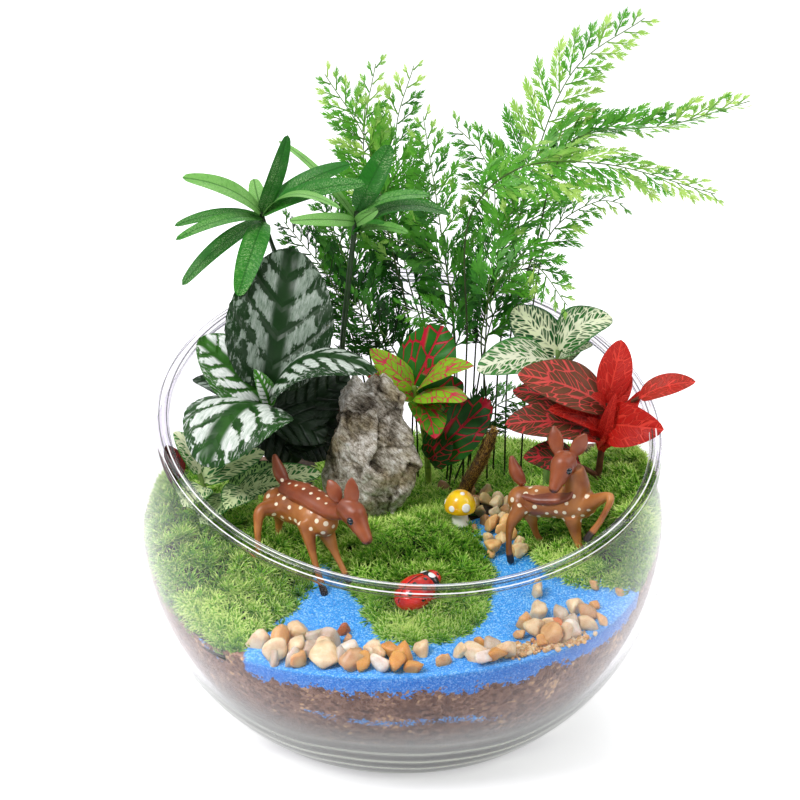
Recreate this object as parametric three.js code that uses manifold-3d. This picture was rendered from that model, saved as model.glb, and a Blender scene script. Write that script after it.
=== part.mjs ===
import * as THREE from "three";
import { mergeVertices } from "three/addons/utils/BufferGeometryUtils.js";
import Module from "manifold-3d";

// A planted glass terrarium: a slant-cut ball bowl with soil, blue sand, moss, pebbles, a rock,
// foliage plants, a hare's-foot fern and small ornaments. Millimetres, +Z up. The origin is the
// middle of the bowl's underside, and the low side of the rim faces -Y.

const wasm = await Module();
wasm.setup();

// Bowl
const bowlRadius = 90;
const bowlCentreZ = 73.5;
const bowlSquash = 0.983; // the lower half is a little flatter than a ball
const glassWall = 2.8;
const glassFloor = 8;
const footFillet = 10.5;
const floorFillet = 16;
const bowlSides = 32;
const rimTilt = THREE.MathUtils.degToRad(20.3);
const rimTurn = THREE.MathUtils.degToRad(11.3);
const rimDistance = 38.5; // from the ball's centre to the plane of the rim
const rimBead = 2.1;

// Filling
const gap = 0.3; // between solids that touch
const sandDepth = 8;
const beachZ = 53; // height of the ground at the front glass
const backRise = 14; // from there to the back
const crossSlope = 0.04; // rise to the right, per mm
const bankRise = 12; // at the two sides
const mossDepth = 5.5;
const mossEdge = 1.4; // thickness of a cushion at its edge
const mossTufts = 0.8; // height of the humps on it
const mossGlassGap = 0.9;

// Blades
const leafThickness = 0.7;
const midribThickness = 0.9;
const leafStalk = 1.3; // least width of a blade, at its stalk and its tip
const narrowLeaf = 14; // blades narrower than this are flat across
const roomTop = 86; // above all of the moss
const pinnaThickness = 0.6;
const stipeHalf = 0.6; // half of the width and of the thickness of a fern's stalk
const pinnaTurn = THREE.MathUtils.degToRad(50);
const pinnaWidest = 0.4; // how far out along a pinna it is widest
const pinnaGap = 0.06; // between neighbours, as a share of their spacing

const v = (x, y, z) => new THREE.Vector3(x, y, z);
const { lerp, smoothstep } = THREE.MathUtils;

// A repeatable random number from 0 to 1 for stone number n.
function random(n) {
  const s = Math.sin(n * 127.1 + 11.7) * 43758.5453;
  return s - Math.floor(s);
}

// Solids: every shape is a closed surface that can be joined and cut

function solidFrom(positions, index) {
  let volume = 0;
  const p = (i) => v(positions[3 * i], positions[3 * i + 1], positions[3 * i + 2]);
  for (let i = 0; i < index.length; i += 3) {
    volume += p(index[i]).dot(p(index[i + 1]).cross(p(index[i + 2])));
  }
  const facing = volume < 0 ? [...index].reverse() : index;
  return new wasm.Manifold(
    new wasm.Mesh({
      numProp: 3,
      vertProperties: new Float32Array(positions),
      triVerts: new Uint32Array(facing),
    }),
  );
}

function solidOf(geometry) {
  const bare = new THREE.BufferGeometry().setAttribute("position", geometry.getAttribute("position"));
  const merged = mergeVertices(bare, 1e-4);
  return solidFrom([...merged.attributes.position.array], [...merged.index.array]);
}

function joined(solids) {
  return solids.reduce((all, one) => all.add(one));
}

// A closed surface through rings of points; a ring of one point is a pole at either end.
function loft(rings) {
  const positions = [];
  const index = [];
  const starts = rings.map((ring) => {
    const start = positions.length / 3;
    ring.forEach((p) => positions.push(p.x, p.y, p.z));
    return start;
  });
  for (let r = 0; r + 1 < rings.length; r += 1) {
    const count = Math.max(rings[r].length, rings[r + 1].length);
    for (let i = 0; i < count; i += 1) {
      const next = (i + 1) % count;
      const a = starts[r] + (rings[r].length > 1 ? i : 0);
      const b = starts[r] + (rings[r].length > 1 ? next : 0);
      const c = starts[r + 1] + (rings[r + 1].length > 1 ? next : 0);
      const d = starts[r + 1] + (rings[r + 1].length > 1 ? i : 0);
      if (a !== b) index.push(a, b, c);
      if (c !== d) index.push(a, c, d);
    }
  }
  return solidFrom(positions, index);
}

function centreOf(ring) {
  return ring.reduce((sum, p) => sum.add(p), v(0, 0, 0)).divideScalar(ring.length);
}

function capped(rings) {
  return loft([[centreOf(rings[0])], ...rings, [centreOf(rings[rings.length - 1])]]);
}

// A round bar along points, with a radius at each and a blunt point at both ends.
function bar(points, radii, sides = 6, grow = 0) {
  let across = null;
  const rings = points.map((p, k) => {
    const before = points[Math.max(k - 1, 0)];
    const after = points[Math.min(k + 1, points.length - 1)];
    const along = after.clone().sub(before).normalize();
    if (!across) across = Math.abs(along.y) < 0.9 ? v(0, 1, 0) : v(1, 0, 0);
    across = across.clone().addScaledVector(along, -across.dot(along)).normalize();
    const other = along.clone().cross(across);
    return Array.from({ length: sides }, (_, i) => {
      const turn = (2 * Math.PI * i) / sides;
      const reach = radii[k] + grow;
      return p
        .clone()
        .addScaledVector(across, reach * Math.cos(turn))
        .addScaledVector(other, reach * Math.sin(turn));
    });
  });
  const last = points.length - 1;
  const start = points[0].clone().sub(points[1]).normalize();
  const end = points[last].clone().sub(points[last - 1]).normalize();
  return loft([
    [points[0].clone().addScaledVector(start, 0.6 * radii[0] + grow)],
    ...rings,
    [points[last].clone().addScaledVector(end, 0.6 * radii[last] + grow)],
  ]);
}

function ball(centre, size, detail = 1, turn = 0, grow = 0) {
  const shape = new THREE.IcosahedronGeometry(1, detail);
  shape.scale(size.x + grow, size.y + grow, size.z + grow);
  shape.rotateZ(turn);
  shape.translate(centre.x, centre.y, centre.z);
  return solidOf(shape);
}

// Bowl

const rimNormal = v(
  Math.sin(rimTilt) * Math.sin(rimTurn),
  -Math.sin(rimTilt) * Math.cos(rimTurn),
  Math.cos(rimTilt),
);
const bowlCentre = v(0, 0, bowlCentreZ);

// Radius and height pairs from the edge of the flat bottom up to the ball's equator.
function lowerProfile(radius, floorZ, fillet) {
  const drop = (bowlCentreZ - floorZ) / bowlSquash;
  const flat = Math.sqrt((radius - fillet) ** 2 - (drop - fillet) ** 2);
  const join = Math.atan2(drop - fillet, flat);
  const pairs = [];
  for (let i = 0; i <= 2; i += 1) {
    const a = lerp(-Math.PI / 2, -join, i / 2);
    pairs.push([flat + fillet * Math.cos(a), floorZ + bowlSquash * fillet * (1 + Math.sin(a))]);
  }
  for (let i = 1; i <= 4; i += 1) {
    const a = lerp(-join, 0, i / 4);
    pairs.push([radius * Math.cos(a), bowlCentreZ + bowlSquash * radius * Math.sin(a)]);
  }
  return pairs;
}

const innerRadius = bowlRadius - glassWall;
const outerProfile = lowerProfile(bowlRadius, 0, footFillet);
const innerProfile = lowerProfile(innerRadius, glassFloor, floorFillet);

// Radius of the space inside the glass at a height.
function insideRadius(z) {
  const rise = z - bowlCentreZ;
  if (rise >= 0) return Math.sqrt(innerRadius ** 2 - rise ** 2) - 0.2 * Math.min(rise, 8) - gap;
  const k = innerProfile.findIndex(([, top]) => z < top);
  if (k < 1) return innerProfile[0][0];
  const [r0, z0] = innerProfile[k - 1];
  const [r1, z1] = innerProfile[k];
  return lerp(r0, r1, (z - z0) / (z1 - z0));
}

// Where the ball of this radius meets a plane parallel to the rim, as an angle above the equator.
function rimRise(radius, distance, turn) {
  const flat = rimNormal.x * Math.cos(turn) + rimNormal.y * Math.sin(turn);
  const reach = Math.hypot(flat, rimNormal.z);
  return Math.asin(distance / (radius * reach)) - Math.atan2(flat, rimNormal.z);
}

function onBall(radius, turn, rise) {
  const flat = radius * Math.cos(rise);
  return v(flat * Math.cos(turn), flat * Math.sin(turn), bowlCentreZ + radius * Math.sin(rise));
}

function bowlSolid() {
  const turns = Array.from({ length: bowlSides }, (_, i) => (2 * Math.PI * i) / bowlSides);
  const level = ([r, z]) => turns.map((t) => v(r * Math.cos(t), r * Math.sin(t), z));
  const upper = (radius, share) =>
    turns.map((t) => onBall(radius, t, share * rimRise(radius, rimDistance - rimBead / 2, t)));
  const bead = (degrees) =>
    turns.map((t) => {
      const middle = (bowlRadius + innerRadius) / 2;
      const p = onBall(middle, t, rimRise(middle, rimDistance, t));
      const out = p.clone().sub(bowlCentre).addScaledVector(rimNormal, -rimDistance).normalize();
      const a = THREE.MathUtils.degToRad(degrees);
      return p
        .addScaledVector(out, rimBead * Math.cos(a))
        .addScaledVector(rimNormal, rimBead * Math.sin(a));
    });
  return loft([
    [v(0, 0, 0)],
    ...outerProfile.map(level),
    upper(bowlRadius, 0.5),
    upper(bowlRadius, 1),
    ...[-20, 40, 90, 140, 200].map(bead),
    upper(innerRadius, 1),
    upper(innerRadius, 0.5),
    ...[...innerProfile].reverse().map(level),
    [v(0, 0, glassFloor)],
  ]);
}

// Ground

function groundZ(x, y) {
  const slope = beachZ + backRise * smoothstep(y, -80, 25) + crossSlope * x;
  return slope + bankRise * smoothstep(Math.abs(x), 50, 84) * smoothstep(y, -65, -20);
}

// Everything under the ground, raised or lowered by shift.
function groundSolid(shift) {
  const turns = Array.from({ length: bowlSides }, (_, i) => (2 * Math.PI * i) / bowlSides);
  const edge = turns.map((t) => {
    let z = beachZ;
    let r = 0;
    for (let k = 0; k < 12; k += 1) {
      r = insideRadius(z) - gap;
      z = groundZ(r * Math.cos(t), r * Math.sin(t)) + shift;
    }
    return { r, z };
  });
  const bottom = glassFloor + gap;
  const side = (share) =>
    turns.map((t, i) => {
      const z = lerp(bottom, edge[i].z, share);
      const r = insideRadius(z) - gap;
      return v(r * Math.cos(t), r * Math.sin(t), z);
    });
  const top = (share) =>
    turns.map((t, i) => {
      const x = share * edge[i].r * Math.cos(t);
      const y = share * edge[i].r * Math.sin(t);
      return v(x, y, groundZ(x, y) + shift);
    });
  return loft([
    [v(0, 0, bottom)],
    ...[0, 0.3, 0.7, 1].map(side),
    ...[0.87, 0.7, 0.5, 0.25].map(top),
    [v(0, 0, groundZ(0, 0) + shift)],
  ]);
}

// A smooth closed outline through hand-placed corners.
function outlineOf(corners, count) {
  const curve = new THREE.CatmullRomCurve3(
    corners.map(([x, y]) => v(x, y, 0)),
    true,
  );
  return curve.getSpacedPoints(count).slice(0, count);
}

// A block inside an outline, between two surfaces; each gets x, y and the share of the way out.
function slab(outline, lowerShares, bottomOf, upperShares, topOf) {
  const middle = centreOf(outline);
  const ring = (share, heightOf) =>
    outline.map((p) => {
      const q = middle.clone().lerp(p, share);
      return q.setZ(heightOf(q.x, q.y, share));
    });
  const pole = (heightOf) => [middle.clone().setZ(heightOf(middle.x, middle.y, 0))];
  return loft([
    pole(bottomOf),
    ...lowerShares.map((share) => ring(share, bottomOf)),
    ...upperShares.map((share) => ring(share, topOf)),
    pole(topOf),
  ]);
}

function mossZ(x, y, share) {
  const tufts = mossTufts * Math.sin(0.52 * x + 1) * Math.sin(0.47 * y);
  return groundZ(x, y) + mossEdge + mossDepth * (1 - share ** 3) + tufts * (1 - share ** 4);
}

// A moss cushion that stays clear of the glass, on an underside just above the ground.
function mossSolid(corners, count) {
  const outline = outlineOf(corners, count).map((p) => {
    const limit = Math.min(insideRadius(groundZ(p.x, p.y)), insideRadius(mossZ(p.x, p.y, 1)));
    return p.clone().clampLength(0, limit - mossGlassGap);
  });
  const under = (x, y, share) => groundZ(x, y) - 2 - 9 * (1 - share);
  return slab(outline, [1], under, [1, 0.84, 0.52], mossZ).subtract(groundSolid(gap));
}

const sandCorners = [
  [-58, -72],
  [-36, -44],
  [-32, -22],
  [-8, -14],
  [16, 0],
  [34, 8],
  [44, -8],
  [54, -30],
  [74, -46],
  [60, -90],
  [0, -100],
];

function sandBlock(grow) {
  const outline = outlineOf(sandCorners, 26);
  const middle = centreOf(outline);
  const wider = outline.map((p) => p.clone().add(p.clone().sub(middle).setLength(grow)));
  const under = (x, y) => groundZ(x, y) - sandDepth - grow;
  return slab(wider, [0.5, 1], under, [1], () => beachZ + 40);
}

// Stones: lumps of a low-poly ball with moved corners, sunk in the ground

function lump(centre, size, seed, rough, detail = 0) {
  const shape = new THREE.IcosahedronGeometry(1, detail);
  const position = shape.getAttribute("position");
  for (let i = 0; i < position.count; i += 1) {
    const p = v().fromBufferAttribute(position, i);
    const key = Math.round(p.x * 50) + 3.1 * Math.round(p.y * 50) + 7.7 * Math.round(p.z * 50);
    p.multiplyScalar(1 + rough * (random(key + seed) - 0.5));
    position.setXYZ(i, p.x, p.y, p.z);
  }
  shape.rotateZ(6 * random(seed + 0.5));
  shape.scale(size.x, size.y, size.z);
  shape.translate(centre.x, centre.y, centre.z);
  return solidOf(shape);
}

// Pebbles that lean on each other along a line of places [x, y, length].
function pebbleRow(places, seed) {
  const stones = places.map(([x, y, length], k) => {
    const centre = v(x, y, groundZ(x, y) + 0.2 * length);
    const size = v(0.5, 0.42 + 0.1 * random(seed + k), 0.4).multiplyScalar(length);
    return lump(centre, size, seed + k, 0.35);
  });
  return joined(stones).subtract(groundSolid(gap));
}

const frontLeftPebbles = [
  [-41, -62, 10],
  [-36, -66, 10],
  [-31, -63, 10],
  [-27, -69, 11],
  [-21, -66, 10],
  [-18, -72, 11],
  [-12, -69, 10],
  [-8, -75, 10],
  [-3, -71, 10],
  [3, -75, 10],
  [8, -71, 9],
];
const frontRightPebbles = [
  [20, -70, 10],
  [26, -67, 10],
  [31, -70, 10],
  [36, -65, 11],
  [43, -65, 11],
  [41, -58, 10],
  [47, -55, 10],
  [52, -51, 9],
  [58, -48, 9],
];
const pathPebbles = [
  [12, 20, 9],
  [18, 18, 9],
  [23, 14, 9],
  [28, 10, 9],
  [27, 4, 9],
  [31, -1, 9],
  [33, -7, 8],
];

function rockSolid() {
  const body = lump(v(-9, 12, 83), v(18, 8.5, 22), 3, 0.3, 1);
  const shoulder = lump(v(-6, 12, 100), v(9, 6, 16), 8, 0.3, 1);
  const peak = lump(v(-15, 12, 103), v(6.5, 5, 12), 21, 0.3);
  return joined([body, shoulder, peak]).subtract(groundSolid(gap));
}

// Leaves

// A thin blade from base to tip that starts as a short stalk. face is the side that its upper face
// looks to, arch lifts its middle, fold lifts its margins, and belly moves the widest place.
function leaf(base, tip, width, face, shape = {}) {
  const flat = width < narrowLeaf;
  const usual = flat ? [0.25, 0.62, 1] : [0.18, 0.4, 0.72, 1];
  const { arch = 0.12, fold = 0.2, belly = 0.85, blunt = 0.6, stations = usual } = shape;
  const along = tip.clone().sub(base);
  const length = along.length();
  along.divideScalar(length);
  const up = v(...face).normalize();
  up.addScaledVector(along, -up.dot(along)).normalize();
  const side = along.clone().cross(up);
  const rings = [0, ...stations].map((u) => {
    const spread = Math.sin(Math.PI * Math.min(u, 0.985) ** belly) ** blunt;
    const half = Math.max((width / 2) * spread, leafStalk / 2);
    const middle = base.clone().addScaledVector(along, u * length);
    middle.addScaledVector(up, 4 * arch * length * u * (1 - u));
    const lift = flat ? 0 : fold * half;
    const slope = Math.atan(4 * arch * (1 - 2 * u));
    const normal = up.clone().multiplyScalar(Math.cos(slope)).addScaledVector(along, -Math.sin(slope));
    const corner = (reach, raise, sink) =>
      middle
        .clone()
        .addScaledVector(side, reach)
        .addScaledVector(up, raise)
        .addScaledVector(normal, -sink);
    const upper = [corner(-half, lift, 0), corner(0, 0, 0), corner(half, lift, 0)];
    const lower = [corner(half, lift, leafThickness), corner(0, 0, midribThickness)];
    const ring = [...upper, ...lower, corner(-half, lift, leafThickness)];
    return flat ? ring.filter((_, i) => i % 3 !== 1) : ring;
  });
  return capped(rings);
}

const curveThrough = (path) =>
  new THREE.CatmullRomCurve3(
    path.map((p) => v(...p)),
    false,
    "centripetal",
  );

function stemPoints(path) {
  return curveThrough(path).getPoints(path.length + 1);
}

// The room for a stem where it goes down through the ground, round the stem's own lower points.
function stemRoom(points, radius) {
  const above = points.findIndex((p) => p.z > roomTop);
  const low = points.slice(0, above < 0 ? points.length : above + 1);
  return bar(low, low.map(() => Math.SQRT2 * (radius + gap)), 4);
}

// Fern

// A thin solid over a flat figure of points and faces, with both sides split into triangles alike.
// place gives the point in space of a flat point, raised by half of the thickness there.
function sheet(points, faces, place) {
  const count = points.length;
  const index = [];
  const open = new Map();
  const across = (a, b) => points[a].clone().sub(points[b]);
  faces.forEach(([a, b, c]) => {
    const [p, q, r] = across(b, a).cross(across(c, a)) > 0 ? [a, b, c] : [a, c, b];
    index.push(p, q, r, count + p, count + r, count + q);
    [
      [p, q],
      [q, r],
      [r, p],
    ].forEach(([from, to]) => {
      if (!open.delete(`${to} ${from}`)) open.set(`${from} ${to}`, [from, to]);
    });
  });
  open.forEach(([from, to]) => index.push(from, count + from, to, to, count + from, count + to));
  const positions = [1, -1].flatMap((way) => points.flatMap((p) => place(p, way).toArray()));
  return solidFrom(positions, index);
}

// Distances along a frond's curve at which its bare stalk bends.
function stalkPlaces(length, bare) {
  const steps = Math.max(2, Math.round((bare * length) / 28));
  return Array.from({ length: steps }, (_, k) => (bare * length * k) / steps);
}

// One frond as a single blade: a stalk and rib whose outline is cut to the rib between pinnae.
// path runs from the root to the tip, bare is the share of it below the first pinna.
function frond({ path, face, bare, half, pairs, lift = 0 }) {
  const curve = curveThrough(path);
  const length = curve.getLength();
  const start = bare * length;
  const pace = (length - start) / pairs;
  const points = [];
  const faces = [];
  const add = (s, w) => points.push(new THREE.Vector2(s, w)) - 1;

  // Adds the pinna that leaves the rib at s and gives its two corners on the rib.
  const pinna = (s, hand) => {
    const share = (s - start) / (length - start);
    const reach = Math.max(half * (1 - share) ** 0.75 * Math.min(1, 0.7 + 3 * share), 2.6);
    const deep = Math.min(0.3 * reach, (0.5 - pinnaGap) * pace * Math.sin(pinnaTurn));
    const at = (a, b) => {
      const forward = a * Math.cos(pinnaTurn) - b * Math.sin(pinnaTurn);
      const outward = a * Math.sin(pinnaTurn) + b * Math.cos(pinnaTurn);
      return add(s + forward, hand * (stipeHalf + outward));
    };
    const widest = (way) => at(pinnaWidest * reach + 0.3 * deep * way, way * deep);
    const [first, last] = [s - 0.6, s + 0.8].map((t) => add(t, hand * stipeHalf));
    const corners = [first, widest(1), at(reach, 0), widest(-1), last];
    const outline = corners.map((i) => points[i]);
    THREE.ShapeUtils.triangulateShape(outline, []).forEach((three) => {
      faces.push(three.map((i) => corners[i]));
    });
    return [first, last];
  };

  const [left, right] = [-1, 1].map((hand) => {
    const rib = stalkPlaces(length, bare).map((s) => add(s, hand * stipeHalf));
    for (let k = 0; k < pairs; k += 1) {
      rib.push(...pinna(start + pace * (k + (hand > 0 ? 0.2 : 0.6)), hand));
    }
    return [...rib, add(length + 2, 0.4 * hand)];
  });
  let [i, j] = [0, 0];
  const ahead = (side, k) => (k + 1 < side.length ? points[side[k + 1]].x : Infinity);
  while (i + 1 < left.length || j + 1 < right.length) {
    const leftNext = ahead(left, i) <= ahead(right, j);
    faces.push([left[i], right[j], leftNext ? left[i + 1] : right[j + 1]]);
    if (leftNext) i += 1;
    else j += 1;
  }

  return sheet(points, faces, (p, way) => {
    const u = Math.min(p.x / length, 1);
    const along = curve.getTangentAt(u);
    const up = v(...face).normalize();
    up.addScaledVector(along, -up.dot(along)).normalize();
    const side = along.clone().cross(up);
    const bend = lift * Math.abs(p.y) - (0.05 * p.y * p.y) / half;
    const thick = Math.abs(p.y) < stipeHalf + 0.05 ? stipeHalf : pinnaThickness / 2;
    return curve
      .getPointAt(u)
      .addScaledVector(along, Math.max(p.x - length, 0))
      .addScaledVector(side, p.y)
      .addScaledVector(up, bend + way * thick);
  });
}

function frondRoom({ path, bare }) {
  const curve = curveThrough(path);
  const length = curve.getLength();
  const points = stalkPlaces(length, bare).map((s) => curve.getPointAt(s / length));
  return stemRoom(points, Math.SQRT2 * stipeHalf);
}

const viewed = [0, -0.9, 0.35]; // faces the open side
const slanted = [0, -0.6, 0.8];
const upright = [0, -0.35, 1];

const fernFronds = [
  {
    path: [[32, 43, 58], [34, 44, 114], [38, 46, 146], [43, 47, 173], [58, 49, 212], [81, 50, 229]],
    face: viewed,
    bare: 0.5,
    half: 20,
    pairs: 9,
  },
  {
    path: [[36, 39, 58], [38, 41, 124], [45, 40, 151], [57, 40, 189], [90, 40, 195], [116, 40, 203]],
    face: upright,
    bare: 0.6,
    half: 14,
    pairs: 8,
    lift: 0.6,
  },
  {
    path: [[21, 31, 58], [22, 27, 122], [23, 25, 168], [38, 22, 184], [65, 21, 186], [103, 20, 176]],
    face: slanted,
    bare: 0.58,
    half: 14,
    pairs: 9,
  },
  {
    path: [[41, 35, 58], [45, 34, 136], [51, 32, 161], [66, 31, 171], [74, 31, 170]],
    face: slanted,
    bare: 0.72,
    half: 8,
    pairs: 5,
  },
  {
    path: [[30, 33, 58], [29, 31, 100], [27, 24, 128], [33, 19, 148], [43, 17, 153], [55, 16, 139]],
    face: viewed,
    bare: 0.66,
    half: 12,
    pairs: 5,
  },
  {
    path: [[10, 51, 58], [8, 54, 119], [0, 57, 160], [-2, 60, 190], [4, 62, 211]],
    face: viewed,
    bare: 0.55,
    half: 15,
    pairs: 7,
  },
  {
    path: [[0, 47, 58], [-5, 49, 108], [-12, 51, 156], [-13, 53, 190], [-9, 54, 213]],
    face: viewed,
    bare: 0.6,
    half: 11,
    pairs: 7,
  },
  {
    path: [[3, 42, 58], [3, 43, 120], [-4, 44, 153], [-12, 45, 188], [-26, 46, 211]],
    face: viewed,
    bare: 0.55,
    half: 17,
    pairs: 8,
  },
  {
    path: [[17, 40, 58], [18, 40, 119], [13, 40, 160], [7, 40, 198]],
    face: viewed,
    bare: 0.5,
    half: 15,
    pairs: 7,
  },
  {
    path: [[15, 36, 58], [18, 35, 124], [13, 35, 148], [-4, 35, 158]],
    face: viewed,
    bare: 0.6,
    half: 11,
    pairs: 6,
  },
  {
    path: [[16, 32, 58], [18, 33, 118], [12, 32, 130], [0, 32, 133]],
    face: viewed,
    bare: 0.66,
    half: 9,
    pairs: 5,
  },
  {
    path: [[-4, 40, 58], [-11, 41, 112], [-18, 41, 144], [-27, 41, 164]],
    face: viewed,
    bare: 0.45,
    half: 15,
    pairs: 7,
  },
  {
    path: [[24, 50, 58], [27, 52, 130], [32, 55, 168], [27, 57, 182], [18, 58, 191]],
    face: viewed,
    bare: 0.6,
    half: 14,
    pairs: 6,
  },
  {
    path: [[28, 38, 58], [29, 38, 125], [31, 36, 150], [39, 36, 172]],
    face: viewed,
    bare: 0.5,
    half: 12,
    pairs: 7,
  },
];

// Other plants: stems as [path, radius], leaves as [tip, width, face, shape]. The leaves leave
// the first stem, or the one that the shape names, one below the other from its top down.

const largeLeaf = { stations: [0.14, 0.3, 0.5, 0.72, 0.9, 1], blunt: 0.55 };

const plants = {
  aluminium_plant: {
    colour: 0x2f6b2a,
    spacing: 1.5,
    stems: [[[[-43, 16, 58], [-43, 15, 84], [-45, 9, 110]], 1.3]],
    leaves: [
      [[-37, 27, 156], 35, [0.1, -0.9, 0.4], largeLeaf],
      [[-8, 0, 121], 19, [0.1, -0.3, 1], { arch: 0.3, fold: -0.3 }],
      [[-68, 15, 128], 21, [-0.2, -0.7, 0.7], {}],
      [[-64, -21, 96], 36, [-0.2, -0.45, 0.9], { ...largeLeaf, arch: 0.25, fold: -0.1 }],
      [[-49, 3, 121], 7, slanted, {}],
      [[-71, 19, 112], 13, [0, -0.4, 1], {}],
      [[-25, 9, 94], 18, [0.3, -0.6, 0.7], {}],
      [[-36, 12, 84], 16, [0, -0.8, 0.5], {}],
    ],
  },
  nerve_plant_left: {
    colour: 0x8fae5a,
    spacing: 1.8,
    stems: [
      [[[-64, -4, 58], [-64, -4, 74], [-67, -7, 88]], 1],
      [[[-65, -5, 80], [-58, -5, 79], [-50, -3, 81]], 0.9],
    ],
    leaves: [
      [[-75, -8, 103], 10, [0.6, -0.6, 0.5], {}],
      [[-60, 2, 97], 11, viewed, {}],
      [[-46, 3, 92], 12, slanted, {}],
      [[-71, -19, 81], 11, slanted, {}],
      [[-27, -2, 86], 10, slanted, { stem: 1 }],
      [[-58, -16, 79], 11, slanted, { stem: 1 }],
    ],
  },
  wilted_leaf: {
    colour: 0x6e1f1c,
    spacing: 0,
    stems: [[[[-75, 3, 62], [-75, 3, 76], [-76, 1, 82]], 0.9]],
    leaves: [[[-79, 4, 94], 9, [0.7, -0.6, 0.2], {}]],
  },
  nerve_plant_red_veined: {
    colour: 0x4c9a26,
    spacing: 1.5,
    stems: [
      [[[9, 31, 58], [9, 31, 76], [7, 30, 92], [4, 25, 108]], 1.2],
      [[[9, 31, 76], [9, 26, 79], [9, 20, 83]], 0.9],
    ],
    leaves: [
      [[14, 29, 128], 20, viewed, { blunt: 0.5 }],
      [[-11, 25, 121], 9, viewed, {}],
      [[24, 12, 119], 11, [-0.3, -0.4, 0.9], {}],
      [[21, 6, 109], 13, upright, { fold: -0.3 }],
      [[-14, 28, 114], 8, viewed, {}],
      [[11, 7, 95], 13, [0.3, -0.9, 0.2], {}],
      [[21, 31, 107], 14, viewed, {}],
      [[30, 21, 104], 17, viewed, { blunt: 0.5, stem: 1 }],
      [[17, 13, 92], 11, viewed, { stem: 1 }],
    ],
  },
  nerve_plant_white: {
    colour: 0xcfdcae,
    spacing: 1.5,
    stems: [[[[50, 24, 58], [50, 24, 78], [52, 25, 100], [53, 24, 121]], 1.2]],
    leaves: [
      [[71, 25, 132], 15, slanted, { arch: 0.3, blunt: 0.5 }],
      [[38, 33, 133], 15, viewed, { blunt: 0.5 }],
      [[64, 16, 125], 7, slanted, {}],
      [[25, 14, 117], 16, slanted, { arch: 0.16, blunt: 0.5 }],
      [[66, 31, 128], 8, slanted, {}],
      [[60, 15, 112], 10, viewed, {}],
      [[45, 27, 105], 10, viewed, {}],
    ],
  },
  nerve_plant_red: {
    colour: 0xc3272b,
    spacing: 1.5,
    stems: [
      [[[66, 6, 60], [66, 6, 80], [67, 4, 96], [68, 4, 109]], 1.3],
      [[[66, 6, 82], [64, 4, 84], [60, 2, 87]], 1],
      [[[68, 4, 106], [72, 3, 108], [78, 0, 112]], 0.8],
    ],
    leaves: [
      [[73, 13, 128], 13, viewed, {}],
      [[38, 3, 119], 18, slanted, { blunt: 0.5 }],
      [[62, -3, 114], 6, slanted, {}],
      [[76, 7, 118], 7, viewed, {}],
      [[37, 13, 110], 15, slanted, {}],
      [[85, -14, 111], 12, slanted, { arch: 0.2 }],
      [[48, -3, 109], 10, slanted, {}],
      [[34, -1, 103], 16, slanted, { blunt: 0.5 }],
      [[40, -3, 92], 13, slanted, { stem: 1 }],
      [[96, -4, 119], 9, slanted, { stem: 2 }],
    ],
  },
  podocarpus_left: {
    colour: 0x3a7f2c,
    spacing: 1.2,
    stems: [[[[-41, 36, 58], [-41, 36, 100], [-42, 36, 150], [-46, 31, 170]], 1.1]],
    leaves: [
      [[-38, 33, 193], 6, [0.3, -0.9, 0.2], {}],
      [[-72, 18, 182], 7, upright, {}],
      [[-17, 29, 184], 7.5, upright, { arch: 0.15 }],
      [[-12, 18, 180], 7.5, upright, { arch: 0.15 }],
      [[-20, 12, 173], 5, upright, { arch: 0.2 }],
      [[-75, 17, 166], 4, upright, {}],
      [[-74, 10, 163], 4, upright, {}],
      [[-73, 16, 146], 6.5, slanted, {}],
      [[-54, 10, 144], 7.5, viewed, { arch: 0.15 }],
    ],
  },
  podocarpus_right: {
    colour: 0x3a7f2c,
    spacing: 1.2,
    stems: [[[[-21, 28, 58], [-21, 28, 112], [-18, 27, 145], [-15, 25, 169]], 1.5]],
    leaves: [
      [[-4, 31, 190], 7.5, viewed, {}],
      [[9, 18, 176], 6, upright, {}],
      [[-42, 47, 188], 4, slanted, {}],
      [[16, 24, 168], 7, upright, { arch: 0.2 }],
      [[2, 15, 164], 5, upright, {}],
      [[-6, 12, 168], 4, upright, {}],
    ],
  },
};

function plantSolid({ spacing, stems, leaves }) {
  const bars = stems.map(([path, radius]) => {
    const points = stemPoints(path);
    return bar(points, points.map(() => radius), 4);
  });
  const used = stems.map(() => 0);
  const blades = leaves.map(([tip, width, face, shape]) => {
    const { stem = 0 } = shape;
    const curve = curveThrough(stems[stem][0]);
    const base = curve.getPointAt(1 - (used[stem] * spacing) / curve.getLength());
    used[stem] += 1;
    return leaf(base, v(...tip), width, face, shape);
  });
  return joined([...bars, ...blades]);
}

// Fawns: a spotted body with legs, and a separate back with tail, neck and head

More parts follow.
